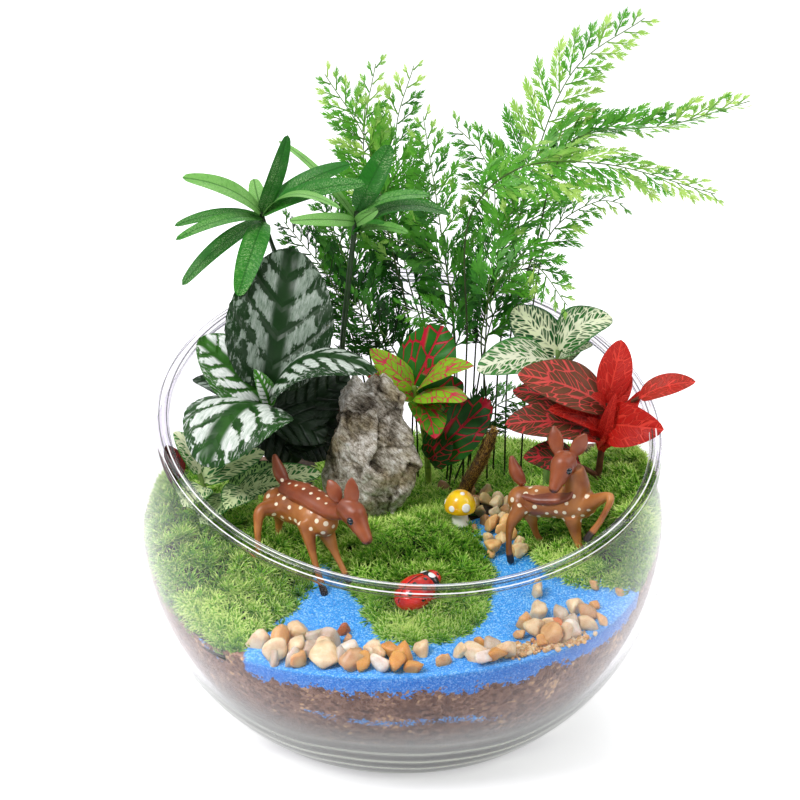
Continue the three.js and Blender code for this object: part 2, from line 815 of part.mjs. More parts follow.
const fawns = {
  fawn_left: {
    torso: [[-40, -14, 80.5], [-33, -20, 80], [-26, -27, 79.5]],
    saddle: [[-38, -13, 85.5], [-31, -20.5, 85.5], [-23, -29, 84], [-18, -34, 85]],
    head: [[-19, -34, 88], [-15.5, -37, 86], [-11, -42, 79]],
    ears: [[[-20, -33, 88], [-23.5, -30, 95]], [[-16, -37, 88], [-16, -36, 98]]],
    tail: [[-38, -13, 86], [-40.5, -11, 91], [-42, -10, 96]],
    legs: [
      [[-41, -17, 80], [-46, -20, 80], [-47, -22, 75], [-46.5, -23, 57]],
      [[-40, -12, 78], [-41, -10, 70], [-41.4, -11, 58]],
      [[-31, -27, 79], [-29, -32, 71], [-27, -34, 64], [-25, -36, 54]],
      [[-25, -26, 76], [-21, -28, 67], [-17, -31, 55]],
    ],
  },
  fawn_right: {
    torso: [[40.5, -18, 83], [48.5, -20, 83], [57.5, -23, 84]],
    saddle: [[39.5, -17, 87.5], [47, -20, 88], [55, -23, 90], [55.5, -24, 95]],
    head: [[54.5, -23.5, 99], [52, -25, 98.5], [48.5, -29.5, 91.5]],
    ears: [[[50, -24, 101], [48.5, -21, 110]], [[54.5, -25.5, 101], [58.5, -27, 109.5]]],
    tail: [[39.5, -17, 88], [37, -15, 92], [35.5, -14, 97]],
    legs: [
      [[39, -21, 82], [35.3, -23, 76.5], [34.8, -23, 68], [35.5, -22, 56]],
      [[41.5, -15, 79], [45, -14, 68], [48, -15, 56]],
      [[55, -24, 80], [57.5, -25, 70], [60.5, -29, 65], [62.5, -31, 56]],
      [[58.5, -25, 84], [66.4, -33, 90], [63.3, -35, 83], [59, -35, 76.5]],
    ],
  },
};

const legRadii = [3, 1.9, 1.3, 1.5];
const torsoRadii = [2.9, 5.4, 5, 5.6, 3.1];
const saddleRadii = [2.6, 2.8, 2.9, 3.1];
const headRadii = [3.1, 4.4, 1.8];

const pointsOf = (path) => path.map((p) => v(...p));

function fawnLegs(spec, grow) {
  return joined(spec.legs.map((leg) => bar(pointsOf(leg), legRadii, 5, grow)));
}

function fawnBack(spec, grow) {
  const ears = spec.ears.map((ear) => bar(pointsOf(ear), [1.9, 1.1], 5, grow));
  return joined([
    bar(pointsOf(spec.saddle), saddleRadii, 7, grow),
    bar(pointsOf(spec.head), headRadii, 8, grow),
    bar(pointsOf(spec.tail), [1.3, 2.3, 1.2], 5, grow),
    ...ears,
  ]);
}

function fawnBody(spec) {
  const [rump, middle, chest] = pointsOf(spec.torso);
  const rounded = (end) => end.clone().sub(middle).setLength(4).add(end);
  return bar([rounded(rump), rump, middle, chest, rounded(chest)], torsoRadii, 8)
    .add(fawnLegs(spec, 0))
    .subtract(fawnBack(spec, gap))
    .subtract(groundSolid(gap));
}

// Mushroom, ladybird and rhizome

const mushroomPlace = v(19.5, 1, 60);
const mushroomStemRadii = [3.6, 3.3, 2.7, 2.3];
const mushroomStemHeights = [0, 6, 9, 12.5];
const mushroomCapBase = 11; // above the bottom of the stem
const mushroomCapRadius = 5.3;
const mushroomCapHeight = 6.2;

function mushroomStem(grow) {
  const points = mushroomStemHeights.map((z) => mushroomPlace.clone().add(v(0, 0, z)));
  return bar(points, mushroomStemRadii, 8, grow);
}

function mushroomCap() {
  const middle = (z) => mushroomPlace.clone().add(v(0, 0, mushroomCapBase + z));
  const level = (radius, z) =>
    Array.from({ length: 12 }, (_, i) => {
      const turn = (2 * Math.PI * i) / 12;
      return middle(z).add(v(radius * Math.cos(turn), radius * Math.sin(turn), 0));
    });
  const dome = [0, 0.25, 0.5, 0.75].map((share) => {
    const a = share * (Math.PI / 2);
    return level(mushroomCapRadius * Math.cos(a), mushroomCapHeight * Math.sin(a));
  });
  const cap = loft([[middle(-1)], level(4.2, -1), ...dome, [middle(mushroomCapHeight)]]);
  return cap.subtract(mushroomStem(gap));
}

const ladybirdPlace = v(4, -48, 62.5);
const ladybirdSize = v(7.6, 5.8, 4.6);
const ladybirdTurn = 0.25;

function ladybirdSolid() {
  const shell = ball(ladybirdPlace, ladybirdSize, 1, ladybirdTurn);
  const head = ladybirdPlace.clone().add(v(6.6, 1.8, 0.3));
  return shell.add(ball(head, v(2.6, 3.2, 2.6), 0, ladybirdTurn));
}

// A scaly creeping stem that rises from the ground at the fern
function rhizomeSolid(grow) {
  const points = [v(20, 24, 60), v(22, 21, 72), v(27, 17, 84), v(31, 15, 95)];
  return bar(points, [2.4, 2.3, 2.3, 1.6], 7, grow);
}

// Moss cushions as closed outlines of [x, y]
const mossOutlines = {
  moss_left: [
    [-92, 0],
    [-80, 36],
    [-52, 26],
    [-31, 8],
    [-27, -10],
    [-31, -28],
    [-38, -46],
    [-53, -64],
    [-72, -66],
    [-90, -30],
  ],
  moss_centre: [
    [-25, 3],
    [-8, 3],
    [10, 8],
    [21, 0],
    [25, -12],
    [27, -34],
    [20, -56],
    [4, -64],
    [-7, -54],
    [-12, -38],
    [-21, -22],
  ],
  moss_right: [
    [92, -14],
    [92, 14],
    [76, 42],
    [60, 34],
    [48, 20],
    [38, 4],
    [42, -12],
    [50, -28],
    [66, -39],
    [84, -44],
  ],
};

// Scene

const terrarium = new THREE.Group();
terrarium.name = "glass_plant_terrarium";

// Adds the largest body of a solid, without the slivers that a cut may leave.
function addNode(name, solid, colour, roughness, extra = {}) {
  const [body] = solid.decompose().sort((a, b) => b.volume() - a.volume());
  const mesh = body.getMesh();
  const stride = mesh.numProp;
  const positions = new Float32Array(mesh.numVert * 3);
  for (let i = 0; i < mesh.numVert; i += 1) {
    positions.set(mesh.vertProperties.subarray(i * stride, i * stride + 3), 3 * i);
  }
  const geometry = new THREE.BufferGeometry();
  geometry.setAttribute("position", new THREE.BufferAttribute(positions, 3));
  geometry.setIndex(new THREE.BufferAttribute(mesh.triVerts, 1));
  geometry.computeVertexNormals();
  const look = { color: colour, roughness, metalness: 0, ...extra };
  const node = new THREE.Mesh(geometry, new THREE.MeshStandardMaterial(look));
  node.name = name;
  terrarium.add(node);
}

addNode("bowl", bowlSolid(), 0xeef4f4, 0.05, { transparent: true, opacity: 0.25 });

// What stands in the ground needs a hole in it, and what stands on it needs room in the moss.
const holes = [rhizomeSolid(gap)];
const rooms = [mushroomStem(gap)];

fernFronds.forEach((spec, k) => {
  addNode(`fern_frond_${k + 1}`, frond(spec), 0x4f8f22, 0.5);
  holes.push(frondRoom(spec));
});

Object.entries(plants).forEach(([name, plant]) => {
  addNode(name, plantSolid(plant), plant.colour, 0.4);
  const [path, radius] = plant.stems[0];
  holes.push(stemRoom(stemPoints(path), radius));
});

Object.entries(fawns).forEach(([name, spec]) => {
  addNode(`${name}_body`, fawnBody(spec), 0x9c5326, 0.45);
  addNode(`${name}_back`, fawnBack(spec, 0), 0x7d3a1f, 0.45);
  rooms.push(fawnLegs(spec, gap));
});

addNode("rhizome", rhizomeSolid(0), 0x8a6428, 0.9);
addNode("mushroom_stem", mushroomStem(0).subtract(groundSolid(gap)), 0xf2f2ee, 0.3);
addNode("mushroom_cap", mushroomCap(), 0xf2b90c, 0.25);
addNode("rock", rockSolid(), 0x8d8478, 0.9);
addNode("pebbles_front_left", pebbleRow(frontLeftPebbles, 40), 0xd9c08f, 0.5);
addNode("pebbles_front_right", pebbleRow(frontRightPebbles, 60), 0xd3b27c, 0.5);
addNode("pebbles_path", pebbleRow(pathPebbles, 80).subtract(rhizomeSolid(gap)), 0xb99b68, 0.6);

const rooted = joined(holes);
const taken = rooted.add(joined(rooms));
const cushions = {};
Object.entries(mossOutlines).forEach(([name, corners]) => {
  cushions[name] = mossSolid(corners, 20).subtract(taken);
  addNode(name, cushions[name], 0x5c8f1e, 0.95);
});
const mossUnderLadybird = cushions.moss_centre.translate([0, 0, gap]);
addNode("ladybird", ladybirdSolid().subtract(mossUnderLadybird), 0xd4231a, 0.25);
addNode("sand_blue", groundSolid(0).intersect(sandBlock(0)).subtract(rooted), 0x3f95e0, 0.85);
addNode("soil", groundSolid(0).subtract(sandBlock(gap)).subtract(rooted), 0x5b4a3f, 1);

export default terrarium;
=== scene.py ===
import itertools
import math

import bmesh
import bpy
import numpy as np
from mathutils import Matrix


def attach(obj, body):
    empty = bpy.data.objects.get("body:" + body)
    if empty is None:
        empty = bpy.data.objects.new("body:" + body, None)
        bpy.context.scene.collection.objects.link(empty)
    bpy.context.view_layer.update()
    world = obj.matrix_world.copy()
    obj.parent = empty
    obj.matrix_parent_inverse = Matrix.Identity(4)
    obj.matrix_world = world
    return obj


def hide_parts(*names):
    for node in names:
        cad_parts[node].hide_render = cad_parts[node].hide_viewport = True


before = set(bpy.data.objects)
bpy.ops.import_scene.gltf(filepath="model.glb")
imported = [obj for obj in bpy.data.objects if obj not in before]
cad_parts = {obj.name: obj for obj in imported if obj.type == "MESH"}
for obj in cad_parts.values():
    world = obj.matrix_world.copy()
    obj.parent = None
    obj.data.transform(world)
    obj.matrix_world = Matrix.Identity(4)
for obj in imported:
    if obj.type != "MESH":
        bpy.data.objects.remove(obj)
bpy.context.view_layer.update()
print("frame loaded")

mm = 0.001  # shapes are worked out in millimetres, and a mesh gets metres
gap = 0.3  # between the filling and the glass


def smooth(x, low, high):
    t = np.clip((np.asarray(x, float) - low) / (high - low), 0, 1)
    return t * t * (3 - 2 * t)


def unit(v):
    v = np.asarray(v, float)
    return v / np.maximum(np.linalg.norm(v, axis=-1, keepdims=True), 1e-9)


# soft noise from -1 to 1 with lumps of one size
def cloud(points, size, seed=0.0):
    p = np.asarray(points, float) / size + 17.13 * seed
    cell = np.floor(p).astype(np.int64)
    part = p - cell
    part = part * part * (3 - 2 * part)
    total = np.zeros(len(p))
    for corner in itertools.product((0, 1), repeat=3):
        c = cell + corner
        h = (c[:, 0] * 73856093) ^ (c[:, 1] * 19349663) ^ (c[:, 2] * 83492791)
        h = ((h ^ (h >> 13)) * 1274126177) & 0x7FFFFFFF
        value = ((h ^ (h >> 15)) & 0xFFFF) / 32767.5 - 1
        total += value * np.prod(np.where(corner, part, 1 - part), axis=1)
    return total


# evenly spaced points on a centripetal curve through given ones
def curveThrough(path, count, closed=False):
    path = np.asarray(path, float)
    ends = (path[-1], path[:2]) if closed else (2 * path[0] - path[1], [2 * path[-1] - path[-2]])
    path = np.vstack([[ends[0]], path, ends[1]])
    rows = []
    for p0, p1, p2, p3 in zip(path, path[1:], path[2:], path[3:]):
        d0, d1, d2 = (max(np.linalg.norm(b - a), 1e-6) ** 0.5 for a, b in ((p0, p1), (p1, p2), (p2, p3)))
        m1 = ((p1 - p0) / d0 - (p2 - p0) / (d0 + d1) + (p2 - p1) / d1) * d1
        m2 = ((p2 - p1) / d1 - (p3 - p1) / (d1 + d2) + (p3 - p2) / d2) * d1
        t = np.linspace(0, 1, 40)[:, None]
        rows.append((2 * t**3 - 3 * t**2 + 1) * p1 + (t**3 - 2 * t**2 + t) * m1
                    + (3 * t**2 - 2 * t**3) * p2 + (t**3 - t**2) * m2)
    line = np.vstack(rows)
    run = np.concatenate([[0], np.cumsum(np.linalg.norm(np.diff(line, axis=0), axis=1))])
    spots = np.linspace(0, run[-1], count + 1)[:-1] if closed else np.linspace(0, run[-1], count)
    return np.stack([np.interp(spots, run, line[:, k]) for k in range(line.shape[1])], axis=1), run[-1]


# A form is a dict of points, faces (lists of index arrays) and values for each point.
def form(points, faces, **values):
    points = np.asarray(points, float).reshape(-1, 3)
    faces = [np.asarray(f, int) for f in (faces if isinstance(faces, list) else [faces])]
    full = {k: np.broadcast_to(np.asarray(v, float), (len(points),) + np.shape(v)[1:]).copy()
            if np.ndim(v) < 2 else np.asarray(v, float) for k, v in values.items()}
    return {"points": points, "faces": faces, "values": full}


def joinForms(forms):
    start, points, faces = 0, [], []
    for one in forms:
        points.append(one["points"])
        faces += [f + start for f in one["faces"]]
        start += len(one["points"])
    names = forms[0]["values"]
    values = {k: np.concatenate([one["values"][k] for one in forms]) for k in names}
    return {"points": np.vstack(points), "faces": faces, "values": values}


# faces of a grid of rows and columns
def gridFaces(rows, columns, closed=False):
    r = np.arange(rows - 1)[:, None] * columns
    c = np.arange(columns if closed else columns - 1)[None, :]
    d = (c + 1) % columns
    return np.stack([r + c, r + d, r + columns + d, r + columns + c], axis=-1).reshape(-1, 4)


# a closed skin over rings of equally many points, with flat fans at both ends
def skin(rings, **values):
    rings = np.asarray(rings, float)
    rows, columns = rings.shape[:2]
    points = np.vstack([rings.reshape(-1, 3), rings[0].mean(axis=0), rings[-1].mean(axis=0)])
    c = np.arange(columns)
    d = (c + 1) % columns
    end = (rows - 1) * columns
    first = np.stack([np.full(columns, end + columns), d, c], axis=1)
    last = np.stack([np.full(columns, end + columns + 1), end + c, end + d], axis=1)
    return form(points, [gridFaces(rows, columns, True), first, last], **values)


# rings of points round a line, each with a radius or a pair of them
def ringsRound(line, radii, sides, lean=(0, 1, 0)):
    line = np.asarray(line, float)
    radii = np.broadcast_to(np.asarray(radii, float).reshape(len(radii), -1), (len(line), 2))
    along = unit(np.gradient(line, axis=0))
    turn = 2 * math.pi * np.arange(sides) / sides
    across = np.asarray(lean, float)
    rings = []
    for p, t, r in zip(line, along, radii):
        across = unit(across - t * (across @ t))
        other = np.cross(t, across)
        rings.append(p + np.outer(np.cos(turn) * r[0], across) + np.outer(np.sin(turn) * r[1], other))
    return np.array(rings)


def tube(line, radii, sides=8, lean=(0.13, 1, 0.07), **values):
    return skin(ringsRound(line, radii, sides, lean), **values)


def roundBall(detail):
    bm = bmesh.new()
    bmesh.ops.create_icosphere(bm, subdivisions=detail, radius=1)
    points = np.array([v.co[:] for v in bm.verts])
    faces = np.array([[v.index for v in f.verts] for f in bm.faces])
    bm.free()
    return points, faces


# points from their coordinates, and points round the vertical axis
def xyz(x, y, z=0.0):
    return np.stack([x, y, z + 0 * x], axis=1)


def polar(radius, turn, z):
    return xyz(radius * np.cos(turn), radius * np.sin(turn), z)


# a turn about the axis with that number
def turnAbout(axis, angle):
    first, second = [(1, 2), (2, 0), (0, 1)][axis]
    matrix = np.eye(3)
    matrix[first, first] = matrix[second, second] = math.cos(angle)
    matrix[second, first] = math.sin(angle)
    matrix[first, second] = -math.sin(angle)
    return matrix


def anyTurn(rng):
    a, b, c = rng.uniform(0, 2 * math.pi, 3)
    return turnAbout(2, a) @ turnAbout(1, b) @ turnAbout(0, c)


def pieceName(node):
    first, *rest = node.split("_")
    return first + "".join(word.title() for word in rest)


# an sRGB hex colour as linear light
def linear(code):
    parts = [int(code[i:i + 2], 16) / 255 for i in (1, 3, 5)]
    return [p / 12.92 if p <= 0.04045 else ((p + 0.055) / 1.055) ** 2.4 for p in parts] + [1]


# Puts a form into the scene as one piece that stands for CAD nodes. materials is one material, or
# a list with the value that says which faces wear the second one.
def addPiece(name, shape, materials, nodes, second=None, flat=False):
    mesh = bpy.data.meshes.new(name)
    faces = [row for block in shape["faces"] for row in block.tolist()]
    mesh.from_pydata((shape["points"] * mm).tolist(), [], faces)
    mesh.polygons.foreach_set("use_smooth", np.full(len(mesh.polygons), not flat))
    for key, value in shape["values"].items():
        if key == "leafMap":
            layer = mesh.uv_layers.new(name=key)
            corners = np.empty(len(mesh.loops), int)
            mesh.loops.foreach_get("vertex_index", corners)
            layer.data.foreach_set("uv", value[corners].ravel())
        elif value.ndim == 2:
            colour = np.concatenate([value, np.ones((len(value), 1))], axis=1)
            mesh.color_attributes.new(key, "FLOAT_COLOR", "POINT").data.foreach_set("color", colour.ravel())
        else:
            mesh.attributes.new(key, "FLOAT", "POINT").data.foreach_set("value", value)
    for material in materials if isinstance(materials, list) else [materials]:
        mesh.materials.append(material)
    if second:
        first = np.array([p.vertices[0] for p in mesh.polygons])
        mesh.polygons.foreach_set("material_index", np.rint(shape["values"][second][first]).astype(int))
    mesh.update()
    piece = bpy.data.objects.new(name, mesh)
    bpy.context.collection.objects.link(piece)
    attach(piece, "root")
    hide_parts(*nodes)
    return piece


# Adds a shader node. A setting is one of its properties, or an input's value, colour code or link.
def addNode(tree, kind, settings, out=0):
    made = tree.nodes.new("ShaderNode" + kind)
    for key, value in settings.items():
        if isinstance(key, str) and hasattr(made, key):
            setattr(made, key, value)
        elif isinstance(value, bpy.types.NodeSocket):
            tree.links.new(value, made.inputs[key])
        else:
            made.inputs[key].default_value = linear(value) if isinstance(value, str) else value
    return made.outputs[out] if made.outputs else None


def maths(tree, operation, *values):
    return addNode(tree, "Math", {"operation": operation, **dict(enumerate(values))})


# a value that runs from bottom at low to top at high
def fade(tree, value, low, high, top=1.0, bottom=0.0, soft=False):
    return addNode(tree, "MapRange", {
        "interpolation_type": "SMOOTHSTEP" if soft else "LINEAR", "Value": value,
        "From Min": low, "From Max": high, "To Min": bottom, "To Max": top})


# two colours mixed by a share
def blend(tree, share, first, second, kind="MIX"):
    return addNode(tree, "Mix", {"data_type": "RGBA", "blend_type": kind, 0: share, 6: first, 7: second}, 2)


# the colours that a value meets at those places
def ramp(tree, value, places, codes):
    colour = addNode(tree, "ValToRGB", {0: value})
    elements = colour.node.color_ramp.elements
    while len(elements) < len(places):
        elements.new(0.5)
    for element, place, code in zip(elements, places, codes):
        element.position = place
        element.color = linear(code)
    return colour


# one of the values that the piece's points carry
def ownValue(tree, name):
    return addNode(tree, "Attribute", {"attribute_name": name}, "Fac")


def ownPlace(tree):
    return addNode(tree, "TexCoord", {}, "Object")


# noise with lumps of a size in millimetres
def noise(tree, size, detail=2, roughness=0.5):
    return addNode(tree, "TexNoise", {
        "Vector": ownPlace(tree), "Scale": 1000 / size, "Detail": detail, "Roughness": roughness})


def part(tree, vector, axis):
    return addNode(tree, "SeparateXYZ", {"Vector": vector}, axis)


def startMaterial(name):
    material = bpy.data.materials.new(name)
    material.use_nodes = True
    material.node_tree.nodes.clear()
    return material, material.node_tree


def finished(material, surface):
    addNode(material.node_tree, "OutputMaterial", {"Surface": surface})
    return material


print("tools ready")


# Bowl

bowl = {
    "radius": 90,
    "centreHeight": 73.5,
    "squash": 0.983,  # of the lower half
    "wall": 2.8,
    "floor": 8,
    "footFillet": 10.5,
    "floorFillet": 16,
    "rimTilt": math.radians(20.3),
    "rimTurn": math.radians(11.3),
    "rimDistance": 38.5,
    "rimBead": 2.1,
    "sides": 160,
    "tint": "#f4f2f7",
    "ior": 1.5,
    # share of bare glass's face-on reflection, because a light tent is dark on the camera's side
    "mirror": 0.09,
    "rimClearness": 0.85,  # share of the view that goes straight through the rim
    # painted highlight and painted reflection lines along the rim
    "rimPaintedGlints": ["#3d453e", "#ffffff"],
    "rimPaintedGlintStrength": 0.8,
    # painted reflection streaks on the thick foot
    "footPaintedReflections": [(0.2, "#090908"), (0.34, "#20201d"), (0.48, "#787b70"), (0.6, "#3a3b35"),
        (0.72, "#0f0f0e"), (0.86, "#989c90")],
    "footPaintedReflectionStrength": 0.84,
}
bowlCentre = np.array([0, 0, bowl["centreHeight"]])
innerRadius = bowl["radius"] - bowl["wall"]
rimNormal = np.array([
    math.sin(bowl["rimTilt"]) * math.sin(bowl["rimTurn"]),
    -math.sin(bowl["rimTilt"]) * math.cos(bowl["rimTurn"]),
    math.cos(bowl["rimTilt"]),
])


# radius and height from the edge of the flat bottom up to the equator
def lowerProfile(radius, floorZ, fillet, bends=8, steps=26):
    drop = (bowl["centreHeight"] - floorZ) / bowl["squash"]
    flat = math.sqrt((radius - fillet) ** 2 - (drop - fillet) ** 2)
    join = math.atan2(drop - fillet, flat)
    a = np.linspace(-math.pi / 2, -join, bends)
    corner = np.stack([flat + fillet * np.cos(a), floorZ + bowl["squash"] * fillet * (1 + np.sin(a))], axis=1)
    a = np.linspace(-join, 0, steps)[1:]
    side = np.stack([radius * np.cos(a), bowl["centreHeight"] + bowl["squash"] * radius * np.sin(a)], axis=1)
    return np.vstack([corner, side])


innerProfile = lowerProfile(innerRadius, bowl["floor"], bowl["floorFillet"])


def insideRadius(z):
    z = np.asarray(z, float)
    rise = np.clip(z - bowl["centreHeight"], 0, innerRadius)
    above = np.sqrt(np.maximum(innerRadius**2 - rise**2, 0)) - gap
    return np.where(z >= bowl["centreHeight"], above, np.interp(z, innerProfile[:, 1], innerProfile[:, 0]))


def rimRise(radius, distance, turn):
    flat = rimNormal[0] * np.cos(turn) + rimNormal[1] * np.sin(turn)
    return np.arcsin(distance / (radius * np.hypot(flat, rimNormal[2]))) - np.arctan2(flat, rimNormal[2])


def onBall(radius, turn, rise):
    return polar(radius * np.cos(rise), turn, bowl["centreHeight"] + radius * np.sin(rise))


# Blown soda-lime glass: clear and polished, with soft waves left by the mould. Fine pale and dark
# lines along the fire-polished rim are painted highlights and painted reflections, and the level
# streaks on the thick foot are painted reflections.
def clearGlass():
    glass, tree = startMaterial("clear blown glass")
    place = ownPlace(tree)
    bead, around, streak, foot = (ownValue(tree, value) for value in ("bead", "around", "streak", "foot"))
    waves = noise(tree, 28, 1)  # 28 mm waves
    depth = maths(tree, "MULTIPLY_ADD", bead, -0.08, 0.08)  # none on the rim
    bump = addNode(tree, "Bump", {"Strength": depth, "Distance": 0.0006, "Height": waves})
    solid = addNode(tree, "BsdfPrincipled", {
        "Base Color": bowl["tint"], "Roughness": 0.0, "IOR": bowl["ior"], "Transmission Weight": 1.0,
        "Specular Tint": [bowl["mirror"]] * 3 + [1], "Normal": bump})
    clear = addNode(tree, "BsdfTransparent", {"Color": bowl["tint"]})
    straight = maths(tree, "MULTIPLY", bead, bowl["rimClearness"])
    # odd inside the glass, where a ray came in straight
    passed = addNode(tree, "LightPath", {}, "Transparent Depth")
    within = maths(tree, "PINGPONG", passed, 1.0)
    inside = addNode(tree, "NewGeometry", {}, "Backfacing")
    straight = addNode(tree, "Mix", {"data_type": "FLOAT", 0: inside, 2: straight, 3: within})
    wall = addNode(tree, "MixShader", {0: straight, 1: solid, 2: clear})
    turn = maths(tree, "MULTIPLY_ADD", around, 5.0, 0.5)  # a painted glint line each 36 degrees
    rimPaintedGlintColour = ramp(tree, maths(tree, "PINGPONG", turn, 1.0), (0.3, 0.7),
        (bowl["rimPaintedGlints"][0], bowl["rimPaintedGlints"][1]))
    off = maths(tree, "PINGPONG", turn, 0.5)
    # painted highlight and painted reflection lines on the rim bead
    rimLine = fade(tree, off, 0.26, 0.08, bowl["rimPaintedGlintStrength"], soft=True)
    rimLine = maths(tree, "MULTIPLY", rimLine, bead)
    drawnOut = addNode(tree, "CombineXYZ", {0: part(tree, place, 0), 1: part(tree, place, 1), 2: streak})
    bands = addNode(tree, "TexWave", {
        "bands_direction": "Z", "Vector": drawnOut, "Scale": 2 * math.pi / (20 * 0.0052), "Distortion": 3.2,
        "Detail": 2, "Detail Scale": 0.28, "Detail Roughness": 0.6}, "Fac")  # a painted reflection streak each 5.2 mm
    footPaintedReflectionColour = ramp(tree, bands, *zip(*bowl["footPaintedReflections"]))
    # painted reflection streaks on the foot
    footLine = maths(tree, "MULTIPLY", foot, bowl["footPaintedReflectionStrength"])
    colour = blend(tree, foot, rimPaintedGlintColour, footPaintedReflectionColour)
    amount = maths(tree, "MAXIMUM", rimLine, footLine)
    # an opaque face that carries the painted rim glints and the painted foot reflections
    drawn = addNode(tree, "BsdfPrincipled", {"Base Color": colour, "Roughness": 0.15})
    lined = addNode(tree, "MixShader", {0: amount, 1: wall, 2: drawn})
    shadow = addNode(tree, "LightPath", {}, "Is Shadow Ray")  # lets the lamps reach the planting
    return finished(glass, addNode(tree, "MixShader", {0: shadow, 1: lined, 2: clear}))


def makeBowl():
    turn = 2 * math.pi * np.arange(bowl["sides"]) / bowl["sides"]
    rings = []

    def level(r, z):
        rings.append(polar(r, turn, z))

    def upper(radius, shares):
        top = rimRise(radius, bowl["rimDistance"] - bowl["rimBead"] / 2, turn)
        rings.extend(onBall(radius, turn, share * top) for share in shares)

    outer = lowerProfile(bowl["radius"], 0, bowl["footFillet"])
    for r, z in outer:
        level(r, z)
    upper(bowl["radius"], np.linspace(0, 1, 19)[1:])
    outside = len(rings)
    middle = (bowl["radius"] + innerRadius) / 2
    edge = onBall(middle, turn, rimRise(middle, bowl["rimDistance"], turn))
    out = unit(edge - bowlCentre - bowl["rimDistance"] * rimNormal)
    angles = np.linspace(-20, 200, 33)
    for a in np.radians(angles):
        rings.append(edge + bowl["rimBead"] * (math.cos(a) * out + math.sin(a) * rimNormal))
    upper(innerRadius, np.linspace(1, 0, 19)[:-1])
    for r, z in innerProfile[::-1]:
        level(r, z)
    for share in (0.6, 0.3):  # plain inner floor
        level(share * innerProfile[0][0], bowl["floor"])
    shape = skin(rings)
    points = shape["points"]
    ring = np.minimum(np.arange(len(points)) // bowl["sides"], len(rings) - 1)
    aside = smooth(np.abs(points[:, 0]), 30, 80)
    onBead = (ring >= outside) & (ring < outside + len(angles))
    shape["values"] = {
        "bead": onBead * 1.0,
        # around and foot place the painted rim glints and the painted foot reflections
        "around": np.where(onBead, angles[np.clip(ring - outside, 0, len(angles) - 1)] / 180, 0),
        "streak": points[:, 2] / 1000 - 0.014 * aside,
        "foot": smooth(points[:, 2] - 8 * aside, 34, 12) * (ring < outside),
    }
    addPiece("glassBowl", shape, clearGlass(), ["bowl"])


makeBowl()
print("bowl made")


# Ground: soil, blue sand and where they meet the glass

ground = {
    "beachHeight": 53,
    "backRise": 14,
    "crossSlope": 0.04,
    "bankRise": 12,
    "sandDepth": 6,  # mean thickness of the blue band at the glass
    "sandSkirt": 15,  # how far down the sand's own side reaches, below the ragged line
    "streakHeight": 33,  # of the thin blue line in the soil
    "soil": ["#3a2417", "#74513d", "#9d7a63", "#cfa878"],
    "humus": "#5d5a34",  # darker top under the plants, partly damp humus and partly painted shade
    "sand": ["#1f78d2", "#3094e6", "#48a9f0", "#5cb6f5", "#94d0f9"],
    "sandStart": -0.047,  # the thin left end of the patch is soil, x in metres
    "pressed": "#d3e0fa",  # takes the sand's colour down where it lies on the glass
}
sandCorners = [
    (-58, -72), (-36, -44), (-32, -22), (-8, -14), (16, 0), (34, 8),
    (44, -8), (54, -30), (74, -46), (60, -90), (0, -100),
]


def groundZ(x, y):
    x, y = np.asarray(x, float), np.asarray(y, float)
    slope = ground["beachHeight"] + ground["backRise"] * smooth(y, -80, 25) + ground["crossSlope"] * x
    return slope + ground["bankRise"] * smooth(np.abs(x), 50, 84) * smooth(y, -65, -20)


# where the ground meets the glass in each direction: radius and height
def groundEdge(turn, shift=0.0):
    z = np.full_like(turn, ground["beachHeight"])
    for _ in range(14):
        r = insideRadius(z) - gap
        z = groundZ(r * np.cos(turn), r * np.sin(turn)) + shift
    return r, z


# Dry potting mix: crumbs of peat and grit pressed on the glass, each a little lighter or darker,
# with flecks of bark and straw. Real crumbs are 0.3 to 2 mm.
def soilColour(tree, place):
    crumbs = addNode(tree, "TexVoronoi", {"Vector": place, "Scale": 1000 / 1.3, "Randomness": 1.0}, "Color")
    tone = part(tree, crumbs, 0)
    clumps = noise(tree, 9, 4, 0.7)
    mixed = maths(tree, "MULTIPLY_ADD", tone, 0.45, clumps)
    return ramp(tree, mixed, (0.3, 0.62, 0.94, 1.08), ground["soil"])


# Dyed quartz sand: even 0.3 mm grains drawn at 0.36 mm so that they show, a few nearly white.
def sandColour(tree, place):
    grains = addNode(tree, "TexVoronoi", {"Vector": place, "Scale": 1000 / 0.36, "Randomness": 1.0}, "Color")
    tone = part(tree, grains, 0)
    drifts = noise(tree, 14, 3)
    mixed = maths(tree, "MULTIPLY_ADD", drifts, 0.35, tone)
    return ramp(tree, mixed, (0.0, 0.45, 0.95, 1.16, 1.27), ground["sand"])


